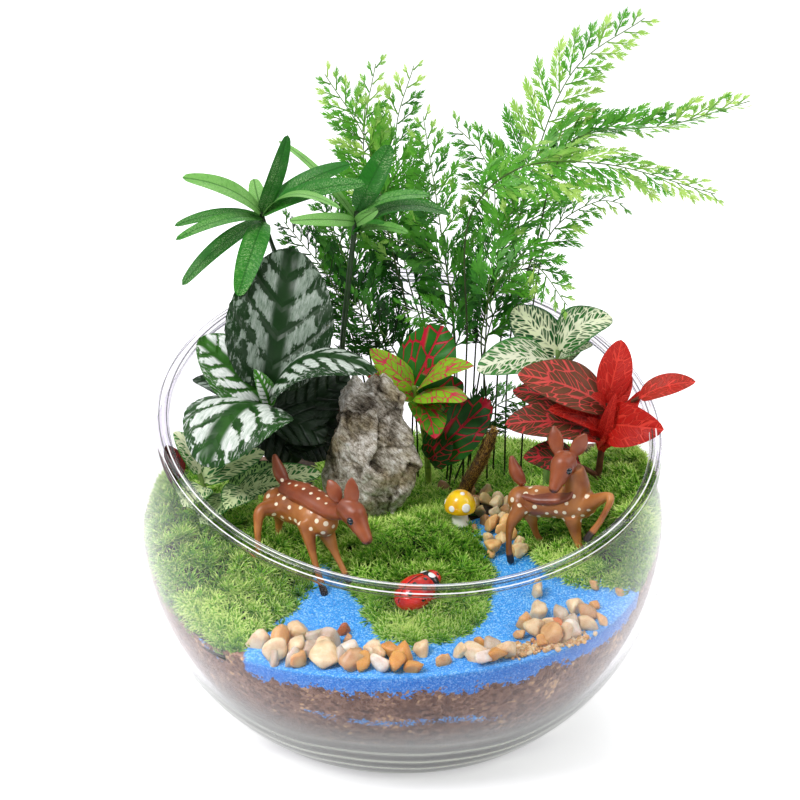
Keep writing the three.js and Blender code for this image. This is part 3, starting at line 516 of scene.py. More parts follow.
# Both grounds in one material: the value "under" is the depth below the ground in mm, and a ragged
# line at the depth of the sand parts the two.
def groundMaterial(name, sandy):
    material, tree = startMaterial(name)
    place = ownPlace(tree)
    soil, sand = soilColour(tree, place), sandColour(tree, place)
    fingers = noise(tree, 7, 5, 0.65)
    if sandy:
        under = ownValue(tree, "under")
        strays = noise(tree, 1.1, 2)
        line = maths(tree, "MULTIPLY_ADD", fingers, -14, ground["sandDepth"] + 7)
        line = maths(tree, "MULTIPLY_ADD", strays, -7, line)
        line = maths(tree, "ADD", line, 3.5)
        blue = fade(tree, maths(tree, "SUBTRACT", line, under), -0.3, 0.3)
        across = maths(tree, "MULTIPLY_ADD", fingers, 0.012, addNode( tree, "SeparateXYZ", {"Vector": place}))
        begun = fade(tree, across, ground["sandStart"] + 0.0055, ground["sandStart"] + 0.0065)
        blue = maths(tree, "MULTIPLY", blue, begun)
        pressed = fade(tree, under, 0.2, 1.6)
        sand = blend(tree, pressed, sand, ground["pressed"], "MULTIPLY")
    else:
        streak = ownValue(tree, "streak")
        # painted shade: the soil's top away from the glass is darkened as if shaded by the plants
        planted = ownValue(tree, "planted")
        soil = blend(tree, planted, soil, ground["humus"], "MULTIPLY")
        strays = noise(tree, 0.9, 3, 0.8)
        amount = maths(tree, "MULTIPLY_ADD", fingers, 1.2, -1.45)
        amount = maths(tree, "MULTIPLY_ADD", strays, 2.6, amount)
        amount = maths(tree, "ADD", amount, streak)
        blue = fade(tree, amount, 1.42, 1.5)
    colour = blend(tree, blue, soil, sand)
    # darker towards the bottom of the bowl, by height alone
    low = fade(tree, part(tree, place, 2), 0.036, 0.018, 0.85)
    colour = blend(tree, low, colour, "#6a5c50", "MULTIPLY")
    grit = addNode(tree, "TexVoronoi", {"Vector": place, "Scale": 1000 / 0.9}, "Distance")
    bump = addNode(tree, "Bump", {"Strength": 0.7, "Distance": 0.0005, "Height": grit})
    face = addNode(tree, "BsdfPrincipled", {"Base Color": colour, "Roughness": 0.9, "Normal": bump})
    return finished(material, face)


sandOutline, _ = curveThrough(sandCorners, 360, closed=True)
sandMiddle = sandOutline.mean(axis=0)


# how far out a place lies, as a share of the outline's own distance from its middle
def shareOut(outline, middle, x, y):
    away = outline - middle
    angle = np.arctan2(away[:, 1], away[:, 0])
    order = np.argsort(angle)
    here = np.arctan2(y - middle[1], x - middle[0])
    limit = np.interp(here, angle[order], np.hypot(*away.T)[order], period=2 * math.pi)
    return np.hypot(x - middle[0], y - middle[1]) / limit


def insideSand(x, y):
    return shareOut(sandOutline, sandMiddle, x, y)


def makeSoil():
    turn = 2 * math.pi * np.arange(240) / 240
    r, z = groundEdge(turn)
    share = insideSand(r * np.cos(turn), r * np.sin(turn))
    sandy = smooth(share, 1.02, 0.97)
    lowered = z - ground["sandSkirt"] * sandy
    bottom = bowl["floor"] + gap
    flat = innerProfile[0][0] - 0.5  # radius of the level bottom
    rings = [polar(s, turn, bottom) * [flat, flat, 1] for s in (0.3, 0.97)]

    def level(height, inward):
        radius = insideRadius(height) - gap - inward
        rings.append(polar(radius, turn, height))

    for s in np.linspace(0.02, 1, 26):
        level(bottom + s * (lowered - bottom), 0)
    level(lowered + 0.01, 0.25 * sandy)
    level(z - 2.5 * sandy + 0.02, 0.3 * sandy)  # behind the sand's own side
    for s in (0.97, 0.93, 0.88, 0.82, 0.75, 0.67, 0.58, 0.48, 0.37, 0.25, 0.12):
        x, y = s * r * np.cos(turn), s * r * np.sin(turn)
        sunk = 1.2 + 1.6 * smooth(insideSand(x, y), 1.02, 0.95)
        height = groundZ(x, y) - sunk + 0.5 * cloud(xyz(x, y), 6, 2)
        rings.append(xyz(x, y, height))
    shape = skin(rings)
    points = shape["points"]
    angle = np.degrees(np.arctan2(points[:, 1], points[:, 0]))
    wander = 2.2 * cloud(np.stack([angle / 14, 0 * angle, 0 * angle], axis=1), 1, 5)
    level = ground["streakHeight"] + 0.010 * (angle + 92) ** 2 * (angle < -92) + wander
    shape["values"]["streak"] = (smooth(np.abs(points[:, 2] - level), 4.2, 0.2)
                                 * smooth(np.abs(angle + 108), 52, 36) * (points[:, 1] < 0))
    fromGlass = insideRadius(points[:, 2]) - np.hypot(points[:, 0], points[:, 1])
    # marks the top away from the glass for the painted shade under the plants
    shape["values"]["planted"] = smooth(fromGlass, 1.0, 2.5) * (points[:, 2] > 30)
    mix = groundMaterial("dry potting mix with a blue streak", False)
    addPiece("pottingSoil", shape, mix, ["soil"])


def makeSand():
    rings, depth = [], []
    limit, _ = groundEdge(np.arctan2(sandOutline[:, 1], sandOutline[:, 0]))
    reach = np.hypot(sandOutline[:, 0], sandOutline[:, 1])
    outline = sandOutline * np.minimum(1, limit / reach)[:, None]
    for s in (0.02, 0.1, 0.2, 0.3, 0.4, 0.5, 0.6, 0.7, 0.8, 0.88, 0.94, 0.98, 1):
        flat = sandMiddle + s * (outline - sandMiddle)
        x, y = flat.T
        p = xyz(x, y)
        ripple = (0.7 * cloud(p, 11, 1) + 0.25 * cloud(p, 4, 4)) * min(1, 6 * (1 - s))
        rings.append(xyz(x, y, groundZ(x, y) + ripple))
        depth.append(0 * x)
    angle = np.arctan2(outline[:, 1], outline[:, 0])
    touching = reach > limit - 0.01
    top = groundZ(outline[:, 0], outline[:, 1])
    for down in np.linspace(0.6, ground["sandSkirt"], 22):
        z = top - np.where(touching, down, min(down, 3))
        r = np.where(touching, insideRadius(z) - gap + 0.02,
            np.hypot(outline[:, 0], outline[:, 1]) * (1 - 0.002 * down))
        rings.append(polar(r, angle, z))
        depth.append(np.full_like(z, down))
    rings.append(rings[-1] - [0, 0, 0.02])  # keeps the shading of the side level to its end
    rings.append(rings[-1] * [0.99, 0.99, 1])
    depth += [depth[-1], depth[-1]]
    shape = skin(rings[::-1], under=np.append(np.array(depth[::-1]).ravel(), [20, 0]))
    dyed = groundMaterial("dyed blue sand over potting mix", True)
    addPiece("blueSand", shape, dyed, ["sand_blue"])


makeSoil()
makeSand()
print("ground made")


# Stones: every pebble is a ball cut by soft planes

pebbles = {
    # x, y, length and number of the colour
    "frontLeft": [
        (-44, -62, 8.5, 1), (-38, -70, 8, 1), (-40, -74, 6, 6), (-33, -59, 7.5, 2), (-37, -64, 9, 4),
        (-32, -67, 8, 1), (-27, -62, 7.5, 6),
        (-28, -70, 8, 6), (-23, -75, 9.5, 2), (-22, -64, 7.5, 6), (-18, -57, 5, 9), (-16, -69, 8, 7),
        (-17, -61, 4, 3), (-15, -78, 8.5, 3),
        (-9, -70, 8, 1), (-7, -73, 6, 2), (-7, -79, 7, 7), (-3, -72, 7, 5), (-2, -79, 7.5, 5),
        (0, -74, 8, 5), (4, -81, 7, 5), (6, -70, 6.5, 2),
        (-31, -74, 6.5, 4), (-34, -75, 7, 6), (-18, -74, 6, 6), (-11, -76, 5, 4), (-12, -79, 6.5, 5),
        (-24, -69, 7, 1), (-36, -59, 6, 1)],
    "frontRight": [
        (13, -77, 6, 4), (18, -73, 6, 2), (22, -74, 8.5, 1), (24, -68, 5, 5), (27, -70, 6.5, 6),
        (28, -77, 7.5, 5), (25, -79, 7, 7),
        (32, -73, 7.5, 2), (38, -57, 6.5, 4), (41, -61, 8, 2), (42, -51, 7, 1), (45, -58, 7, 2),
        (47, -60, 6, 8), (45, -66, 8, 4),
        (50, -54, 7.5, 6), (54, -49, 7, 1), (50, -65, 6, 1), (53, -64, 7, 7), (52, -59, 7, 6),
        (57, -54, 7.5, 3), (58, -60, 7.5, 2),
        (63, -57, 5, 4), (60, -49, 4, 5), (43, -40, 7.5, 2), (61, -40, 4, 4), (68, -45, 3.5, 4),
        (36, -63, 5, 4), (42, -68, 5, 5)],
    "path": [
        (14, 29, 6.5, 3), (24, 26, 6.5, 1), (29, 23, 6.5, 1), (26, 19, 6, 3), (29, 14, 7, 1),
        (32, 12, 6.5, 2), (36, 13, 6, 0), (27, 8, 6, 1),
        (31, 5, 7, 0), (35, 7, 6, 3), (24, -2, 5, 3), (30, -3, 7.5, 4), (35, -3, 7, 4), (33, -6, 6, 4),
        (33, -12, 7, 5), (30, -16, 8, 4),
        (29, -18, 4.5, 4), (39, -12, 6.5, 5), (39, -18, 7.5, 5), (37, 0, 6, 3), (36, -17, 6, 4),
        (28, 2, 5.5, 3), (33, 1, 6, 2), (21, 23, 5, 3),
        (25, 13, 5.5, 1), (33, 17, 6, 0), (29, -9, 6, 5), (36, -8, 6, 4)],
    "light": ["#e0cfae", "#eedcb6", "#ecd6aa", "#c9a273", "#dfb276", "#dba252", "#c9bfab", "#efe8d8",
        "#cf7f4b", "#b0683c"],
    "dark": ["#c9bd9a", "#b9a877", "#d8cba4", "#9c7a50", "#e2b878", "#ecd4a2"],
    "grit": {"ends": [(32, -72), (54, -64)], "spread": 2.2, "count": 420, "size": (0.5, 1.3),
             "colours": ["#d6a868", "#c8965a", "#e2bf8c", "#ecd6b0"]},
}
ballPoints, ballFaces = roundBall(3)


def stone(centre, size, rng, planes=10, hard=200):
    normals = unit(rng.normal(size=(planes, 3)))
    heights = rng.uniform(0.52, 0.85, planes)
    facing = np.maximum(ballPoints @ normals.T / heights, 1e-3)
    reach = (facing**hard).sum(axis=1) ** (-1 / hard)
    points = ballPoints * np.minimum(reach, 1.12)[:, None]
    points += 0.035 * unit(points) * cloud(points, 0.4, rng.uniform(0, 9))[:, None]
    return (points * size) @ anyTurn(rng).T + centre


# Quartz gravel: broken and half-rounded pieces in cream, white, amber and grey, waxy rather than
# polished, with faint stains and a little light that sinks in.
def gravelMaterial(name, shine):
    material, tree = startMaterial(name)
    own = addNode(tree, "Attribute", {"attribute_name": "own"}, "Color")
    stains = noise(tree, 2.6, 5, 0.6)
    shade = ramp(tree, stains, (0.32, 0.5, 0.6), ("#cf9a5e", "#f0dcc0", "#ffffff"))
    colour = blend(tree, 0.45, own, shade, "MULTIPLY")
    pits = noise(tree, 0.8, 3)
    bump = addNode(tree, "Bump", {"Strength": 0.35, "Distance": 0.0003, "Height": pits})
    face = addNode(tree, "BsdfPrincipled", {
        "Base Color": colour, "Roughness": shine, "Normal": bump,
        "Subsurface Weight": 0.25, "Subsurface Scale": 0.002,
    })
    return finished(material, face)


def makePebbles(name, places, colours, seed, material, node, grit=None, share=0.54):
    rng = np.random.default_rng(seed)
    forms = []
    for x, y, length, tint in places:
        size = share * length * np.array([1, rng.uniform(0.7, 0.95), rng.uniform(0.55, 0.8)])
        z = float(groundZ(x, y))
        inward = min(1, (float(insideRadius(z)) - size[0]) / math.hypot(x, y))
        crowd = sum(math.hypot(x - a, y - b) < 0.4 * (length + c) for a, b, c, _ in places) - 1
        points = stone((x * inward, y * inward, z + 0.5 * size[2] + 0.5 * min(crowd, 3)), size, rng)
        points[:, 2] = np.maximum(points[:, 2], z - 1.5)
        own = np.array(linear(colours[tint])[:3]) * rng.uniform(0.9, 1.05)
        forms.append(form(points, ballFaces, own=np.broadcast_to(own, (len(points), 3))))
    if grit:
        small, smallFaces = roundBall(1)
        start, end = (np.array(corner, float) for corner in grit["ends"])
        for _ in range(grit["count"]):
            x, y = start + (end - start) * rng.uniform(0, 1) + rng.normal(0, grit["spread"], 2) * [1, 0.7]
            size = rng.uniform(*grit["size"])
            points = small * (size * rng.uniform(0.5, 1, 3)) @ anyTurn(rng).T
            points += [x, y, float(groundZ(x, y)) + 0.3 * size]
            own = np.array(linear(grit["colours"][rng.integers(len(grit["colours"]))])[:3])
            forms.append(form(points, smallFaces, own=np.broadcast_to(own, (len(points), 3))))
    addPiece(name, joinForms(forms), material, [node])


# Moss: a bed painted dark as shade under star-shaped tufts of fine blades

moss = {
    "depth": 5.5,
    "edge": 1.4,
    "humps": 0.8,
    "glassGap": 0.9,
    "stars": 1150,  # on each cushion
    "fringe": 330,  # more of them round its edge
    "blades": 15,  # in each star
    "bladeLength": 5.9,
    "bladeWidth": 0.6,
    "clump": 9.5,  # distance between humps
    "trodden": (4, -51),  # round the ladybird
    "colours": ["#0a1c04", "#3f8818", "#92cb3c", "#dff58e"],
    # corners of where stray stars grow between the plants, and how many
    "stray": {"moss_centre": ((-30, 6), (14, 84), 1300), "moss_right": ((14, 8), (62, 82), 1500)},
}
mossOutlines = {
    "moss_left": [(-92, 0), (-80, 36), (-52, 26), (-31, 8), (-27, -10), (-31, -28), (-38, -46), (-53, -64),
        (-72, -66), (-90, -30)],
    "moss_centre": [(-25, 3), (-8, 3), (10, 8), (21, 0), (25, -12), (27, -34), (20, -56), (4, -64),
        (-7, -54), (-12, -38), (-21, -22)],
    "moss_right": [(92, -14), (92, 14), (76, 42), (60, 34), (48, 20), (38, 4), (42, -12), (50, -28),
        (66, -39), (84, -44)],
}


# Cushion moss: living stems with fine pointed leaves. The blades are paler towards their tips and on
# the higher humps, partly their own young colour and partly painted light, and they are painted nearly
# black at their roots and on the bed as shade between the tufts.
def mossMaterial():
    material, tree = startMaterial("living cushion moss")
    tip = ownValue(tree, "tip")
    tone = ownValue(tree, "tone")
    mixed = maths(tree, "MULTIPLY_ADD", tone, 0.42, tip)
    colour = ramp(tree, mixed, (0.12, 0.48, 0.86, 1.25), moss["colours"])
    face = addNode(tree, "BsdfPrincipled", {"Base Color": colour, "Roughness": 0.55,
        "Specular IOR Level": 0.3})
    through = addNode(tree, "BsdfTranslucent", {"Color": colour})
    return finished(material, addNode(tree, "MixShader", {0: 0.3, 1: face, 2: through}))


def makeMoss(node, corners, seed, material):
    rng = np.random.default_rng(seed)
    outline, _ = curveThrough(corners, 120, closed=True)
    heights = groundZ(*outline.T) + moss["edge"]
    limit = insideRadius(heights) - moss["glassGap"]
    outline *= np.minimum(1, limit / np.hypot(*outline.T))[:, None]
    middle = outline.mean(axis=0)

    def mossZ(x, y, share):
        tufts = moss["humps"] * np.sin(0.52 * x + 1) * np.sin(0.47 * y)
        dent = 3.2 * np.exp(-((x - 19.5) ** 2 + (y + 4.5) ** 2) / 34)  # in front of the mushroom
        return groundZ(x, y) + moss["edge"] + moss["depth"] * (1 - share**3) + tufts * (1 - share**4) - dent

    free = np.hypot(*outline.T) < limit - 0.3  # the edge next to the glass stays full
    uneven = 0.93 + 0.035 * cloud(xyz(*outline.T), 3, seed + 31)
    drawnIn = np.where(free, uneven, 1.0)[:, None]
    rings = []
    for s in np.linspace(0.06, 1, 16):
        x, y = (middle + s * drawnIn * (outline - middle)).T
        rings.append(xyz(x, y, mossZ(x, y, s) - 1.3 + 0.7 * cloud(xyz(x, y), 3.5, seed)))
    for low in (1.0, 3.0):
        x, y = (middle + drawnIn * (outline - middle)).T
        rings.append(xyz(x, y, mossZ(x, y, 1) - 1.3 - low))
    # the bed's low tip and tone values paint it nearly black, as shade under the tufts
    bed = skin(rings[::-1], tip=0.02, tone=0.2)

    area = []
    while sum(map(len, area)) < moss["stars"]:
        spot = rng.uniform(outline.min(axis=0), outline.max(axis=0), (4000, 2))
        share = shareOut(outline, middle, *spot.T)
        ragged = 1 + 0.05 * cloud(np.column_stack([spot, 0 * share]), 6, seed + 20)
        area.append(np.column_stack([spot, share])[share < ragged])
    place = rng.integers(0, 120, moss["fringe"])
    away = rng.uniform(0.9, 1.06, moss["fringe"])
    fringe = middle + away[:, None] * (outline[place] - middle) + rng.normal(0, 0.5, (moss["fringe"], 2))
    stray = np.empty((0, 3))
    if node in moss["stray"]:
        low, high, count = moss["stray"][node]
        spot = rng.uniform(low, high, (count, 2))
        path = np.array([(a, b) for a, b, *_ in pebbles["path"]], float)
        beside = np.linalg.norm(spot[:, None] - path[None], axis=2).min(axis=1) > 4.2
        within = np.hypot(*spot.T) < insideRadius(groundZ(*spot.T)) - 2
        spot = spot[beside & within & (insideSand(*spot.T) > 1.02)]
        stray = np.column_stack([spot, np.full(len(spot), 1.3)])
    x, y, share = np.vstack([np.vstack(area)[:moss["stars"]], np.column_stack([fringe, away]), stray]).T
    p = xyz(x, y)
    clump = cloud(p, moss["clump"], seed + 3)
    wild = share > 1.25
    onCushion = np.maximum(mossZ(x, y, share) - 1.7 + 2.2 * clump, groundZ(x, y) - 0.5)
    height = np.where(wild, groundZ(x, y) - 0.8 + 1.2 * clump, onCushion)
    share = np.where(wild, 0.4, share)
    resting = smooth(np.hypot(x - moss["trodden"][0], y - moss["trodden"][1]), 13, 8)
    root = np.stack([x, y, height - 2.2 * resting], 1)
    slope = 2.6 * (np.stack([cloud(p + [1, 0, 0], moss["clump"], seed + 3),
                             cloud(p + [0, 1, 0], moss["clump"], seed + 3)], 1) - clump[:, None])
    outward = unit(np.stack([x - middle[0], y - middle[1]], 1)) * (1.15 * share**4)[:, None]
    stem = unit(np.column_stack([outward - slope, np.full(len(x), 1.0)]) + rng.normal(0, 0.26, (len(x), 3)))
    size = moss["bladeLength"] * rng.uniform(0.7, 1.15, len(x)) * (1 - 0.25 * share**4)
    # higher humps get a lighter tone, as painted light
    tone = np.clip(0.45 + 0.3 * cloud(p, 17, seed + 8) + 0.6 * clump + rng.normal(0, 0.2, len(x)), 0, 1)
    side = unit(np.cross(stem, [0.3, 1, 0.2]))
    front = np.cross(stem, side)
    points, tips = [], []
    for k in range(moss["blades"]):
        turn = 2 * math.pi * (k + rng.uniform(-0.3, 0.3, len(x))) / moss["blades"]
        spread = rng.uniform(0.4, 1.9, len(x)) if k else rng.uniform(0, 0.15, len(x))
        out = side * np.cos(turn)[:, None] + front * np.sin(turn)[:, None]
        flat = np.cross(stem, out)
        long = size * rng.uniform(0.75, 1.1, len(x))
        way = unit(stem + out * spread[:, None])
        bend = unit(stem * 0.55 + out * (0.4 + spread)[:, None])
        half = moss["bladeWidth"] / 2 * flat
        middlePoint = root + way * (0.5 * long)[:, None]
        end = middlePoint + bend * (0.5 * long)[:, None]
        points.append(np.stack([root, middlePoint - half, middlePoint + half, end], axis=1))
        # tip runs from dark roots, painted shade, to pale tips, partly painted light
        tips.append(np.broadcast_to([0.0, 0.42, 0.42, 1.0], (len(x), 4)))
    points = np.stack(points, axis=1).reshape(-1, 3)
    stars = points.reshape(len(x), -1, 3)
    reach = np.hypot(stars[:, :, 0], stars[:, :, 1])
    # whole stars step back from the glass
    over = (reach - insideRadius(stars[:, :, 2]) + 0.3).max(axis=1).clip(0, 2.2)
    stars[:, :, :2] -= (over[:, None] * unit(stars[:, 0, :2]))[:, None, :]
    points = stars.reshape(-1, 3)
    radius = np.hypot(points[:, 0], points[:, 1])
    points[:, :2] *= np.minimum(1, (insideRadius(points[:, 2]) - 0.25) / radius)[:, None]
    start = 4 * np.arange(len(points) // 4)[:, None]
    faces = [start + [0, 1, 2], start + [1, 3, 2]]
    stars = form(points, faces, tip=np.stack(tips, axis=1).reshape(-1),
        tone=np.repeat(tone, 4 * moss["blades"]))
    addPiece("mossCushion" + node.split("_")[1].title(), joinForms([bed, stars]), material, [node])


mossSurface = mossMaterial()
for count, (node, corners) in enumerate(mossOutlines.items()):
    makeMoss(node, corners, 11 + count, mossSurface)
print("moss made")

lightGravel = gravelMaterial("broken quartz gravel", 0.36)
pathGravel = gravelMaterial("broken river gravel", 0.5)
makePebbles("frontPebblesLeft", pebbles["frontLeft"], pebbles["light"], 4, lightGravel,
    "pebbles_front_left")
makePebbles("frontPebblesRight", pebbles["frontRight"], pebbles["light"], 9, lightGravel,
    "pebbles_front_right", pebbles["grit"])
makePebbles("pathPebbles", pebbles["path"], pebbles["dark"], 6, pathGravel, "pebbles_path",
    share=0.47)
print("pebbles made")


# Rock

rock = {
    # height, left and right end, and depth of each level
    "levels": [
        (60, -22, -4, 12), (68, -25, -2, 14), (73, -26.5, 3, 15.5), (79, -27.6, 6.3, 16.5),
        (85, -26.8, 6.6, 16), (92, -25, 4.2, 14.5),
        (98, -23.6, 1.8, 13), (103, -22.6, 0.4, 11.5), (108, -21.2, 1.0, 10), (111.5, -19.4, -2.0, 8.5),
    ],
    "peaks": [
        [(108, -20.9, -12.2, 8), (111, -19.6, -12.6, 6.5), (114, -18.2, -13.5, 4.5),
            (116, -16.8, -15.4, 2.0)],
        [(108, -13.0, 0.9, 9), (110.5, -12.8, -1.6, 7.5), (113.5, -11.6, -4.4, 5.5),
            (115.6, -9.9, -6.6, 3.2), (116.9, -8.7, -7.7, 1.2)],
    ],
    "front": 9.5,  # where the middle of its depth lies
    "corners": [(-1, 0.1), (-0.72, -0.66), (-0.2, -0.92), (0.08, -1.0), (0.5, -0.6), (0.93, -0.3),
        (1, 0.25), (0.5, 0.9), (-0.5, 0.95)],
    "colours": ["#3a3226", "#8d8272", "#cdc4b6", "#fffdf9"],
}


# Limestone as found: rough, with slanted grain and pale scratches, olive in patches and darker in its
# hollows.
def rockMaterial():
    material, tree = startMaterial("weathered limestone")
    place = ownPlace(tree)
    stretched = addNode(tree, "Mapping", {
        "vector_type": "TEXTURE", "Vector": place, "Rotation": (0, math.radians(-48), 0),
        "Scale": (1, 1, 2.8)})
    grain = addNode(tree, "TexNoise", {"Vector": stretched, "Scale": 1000 / 1.1, "Detail": 7,
        "Roughness": 0.85})
    patches = noise(tree, 14, 4, 0.6)
    deep = ownValue(tree, "deep")
    # darker in the hollows
    tone = maths(tree, "MULTIPLY_ADD", deep, -0.22, grain)
    colour = ramp(tree, tone, (0.29, 0.41, 0.5, 0.6), rock["colours"])
    olive = fade(tree, patches, 0.48, 0.62, 0.75)
    colour = blend(tree, olive, colour, "#c0b183", "MULTIPLY")
    bump = addNode(tree, "Bump", {"Strength": 0.9, "Distance": 0.0009, "Height": grain})
    face = addNode(tree, "BsdfPrincipled", {"Base Color": colour, "Roughness": 0.88, "Normal": bump})
    return finished(material, face)


# joins closed forms into one even skin, as clay would
def fuse(forms, cell, rounds):
    joined = joinForms([form(f["points"], f["faces"]) for f in forms])
    mesh = bpy.data.meshes.new("fused")
    mesh.from_pydata(joined["points"].tolist(), [],
        [row for block in joined["faces"] for row in block.tolist()])
    lump = bpy.data.objects.new("fused", mesh)
    bpy.context.collection.objects.link(lump)
    remesh = lump.modifiers.new("remesh", "REMESH")
    remesh.mode, remesh.voxel_size = "VOXEL", cell
    even = lump.modifiers.new("even", "SMOOTH")
    even.factor, even.iterations = 0.5, rounds
    made = lump.evaluated_get(bpy.context.evaluated_depsgraph_get()).to_mesh()
    points = np.empty(3 * len(made.vertices))
    made.vertices.foreach_get("co", points)
    normals = np.empty(3 * len(made.vertices))
    made.vertices.foreach_get("normal", normals)
    faces = [[v for v in p.vertices] for p in made.polygons]
    quads = np.array([f for f in faces if len(f) == 4])
    rest = [f for f in faces if len(f) == 3]
    shape = form(points, [quads] + ([np.array(rest)] if rest else []))
    bpy.data.objects.remove(lump)
    bpy.data.meshes.remove(mesh)
    return shape, normals.reshape(-1, 3)


def makeRock():
    rng = np.random.default_rng(5)
    corners = np.array(rock["corners"])
    lumps = []
    for levels in [rock["levels"]] + rock["peaks"]:
        rings = []
        for z, left, right, depth in levels:
            half = (right - left) / 2
            flat = corners * [half, depth / 2] * (1 + rng.normal(0, 0.05, (len(corners), 1)))
            x = (left + right) / 2 + flat[:, 0] + rng.normal(0, 0.35, len(corners))
            y = rock["front"] + 2 + flat[:, 1] + rng.normal(0, 0.5, len(corners))
            rings.append(np.stack([x.clip(left, right), y, z + rng.normal(0, 0.5, len(corners))], axis=1))
        lumps.append(skin(np.array(rings)))
    shape, normals = fuse(lumps, 0.55, 3)
    p = shape["points"]
    slanted = p @ np.array([[0.8, 0, 0.3], [0, 1, 0], [0.3, 0, 0.5]]).T
    spots = rng.uniform(p.min(axis=0), p.max(axis=0), (46, 3))
    far = np.linalg.norm((p[:, None] - spots[None]) * [1, 1, 0.75], axis=2)
    order = np.argsort(far, axis=1)[:, :2]
    tilt = unit(rng.normal(size=(46, 3)))[order[:, 0]]
    facets = (tilt * (p - spots[order[:, 0]])).sum(axis=1) / 6  # each patch of the surface leans its own way
    seams = np.take_along_axis(far, order, axis=1)
    seams = smooth(seams[:, 1] - seams[:, 0], 1.1, 0.0)
    fibres = p @ np.array([[0.7, 0, 0.7], [0, 0.9, 0], [-0.25, 0, 0.25]]).T
    relief = (1.1 * facets.clip(-1, 1) - 0.3 * seams + 0.35 * cloud(slanted, 2.6, 1) + 0.3
        * cloud(fibres, 1.0, 2)
              + 0.2 * cloud(p, 0.9, 6))
    shape["points"] = p + normals * relief[:, None]
    shape["points"][:, 2] = np.maximum(shape["points"][:, 2], groundZ(*shape["points"][:, :2].T) - 1)
    # how deep each hollow lies, which darkens it
    shape["values"]["deep"] = np.clip(-relief / 1.6, 0, 1)
    addPiece("limestoneRock", shape, rockMaterial(), ["rock"])


makeRock()
print("rock made")


# Leaves

leafy = {
    "rows": 34,  # mesh lines along and across a blade
    "columns": 14,
    "stalk": 0.6,  # half width where a blade starts
}


# One blade from base to tip. face is where its upper side looks, arch lifts its middle, fold its
# margins; quilt swells it between the side veins, and notches cut its edge.
def blade(base, tip, width, face, arch=0.12, fold=0.2, belly=0.85, blunt=0.6, tone=0.5, quilt=0.0,
          veins=4.0, lean=0.9, notches=0.0, ruffle=0.02, seed=0):
    rows, columns = leafy["rows"], leafy["columns"]
    base, tip = np.asarray(base, float), np.asarray(tip, float)
    length = np.linalg.norm(tip - base)
    along = (tip - base) / length
    up = np.asarray(face, float)
    up = unit(up - along * (up @ along))
    side = np.cross(along, up)
    u = np.linspace(0, 1, rows)[:, None]
    w = np.linspace(-1, 1, columns + 1)[None, :]
    spread = np.sin(math.pi * np.minimum(u, 1) ** belly).clip(0, 1) ** blunt * smooth(u, -0.02, 0.07)
    half = np.maximum(width / 2 * spread, leafy["stalk"] * smooth(1 - u, 0, 0.1))
    half = half * (1 + notches * np.abs(np.sin(math.pi * 12 * u + seed)) * np.abs(w) ** 6)
    reach = w * half
    off = np.abs(reach) / width
    # 1 on a side vein
    pattern = np.abs((u * length / width - off * lean - off**2 * 0.5) * veins % 1 - 0.5) * 2
    swell = quilt * (1 - pattern**2) * smooth(np.abs(w), 0.02, 0.3)
    swell = swell * smooth(np.abs(w), 1.0, 0.75) * smooth(u, 0, 0.12)
    wave = ruffle * width * np.sin(9 * u + 2 * np.sign(w) + 1.7 * seed) * np.abs(w) ** 3 * smooth(u, 0, 0.2)
    lift = 4 * arch * length * u * (1 - u) + fold * half * np.abs(w) ** 1.3 + swell + wave
    points = base + (u * length)[..., None] * along + reach[..., None] * side + lift[..., None] * up
    spots = np.stack([np.broadcast_to(u * length / width, reach.shape), 0.5 + reach / width], axis=-1)
    return form(points, gridFaces(rows, columns + 1), leafMap=spots.reshape(-1, 2),
                margin=np.broadcast_to(np.abs(w), reach.shape).ravel(), tone=tone, stemPart=0.0)


def stemForm(path, radius):
    line, _ = curveThrough(path, 24)
    shape = tube(line, np.linspace(radius, 0.8 * radius, 24))
    n = len(shape["points"])
    shape["values"] = {"leafMap": np.zeros((n, 2)), "margin": np.zeros(n), "tone": np.full(n, 0.5),
        "stemPart": np.ones(n)}
    return shape


viewed, slanted, upright = (0, -0.9, 0.35), (0, -0.6, 0.8), (0, -0.35, 1)
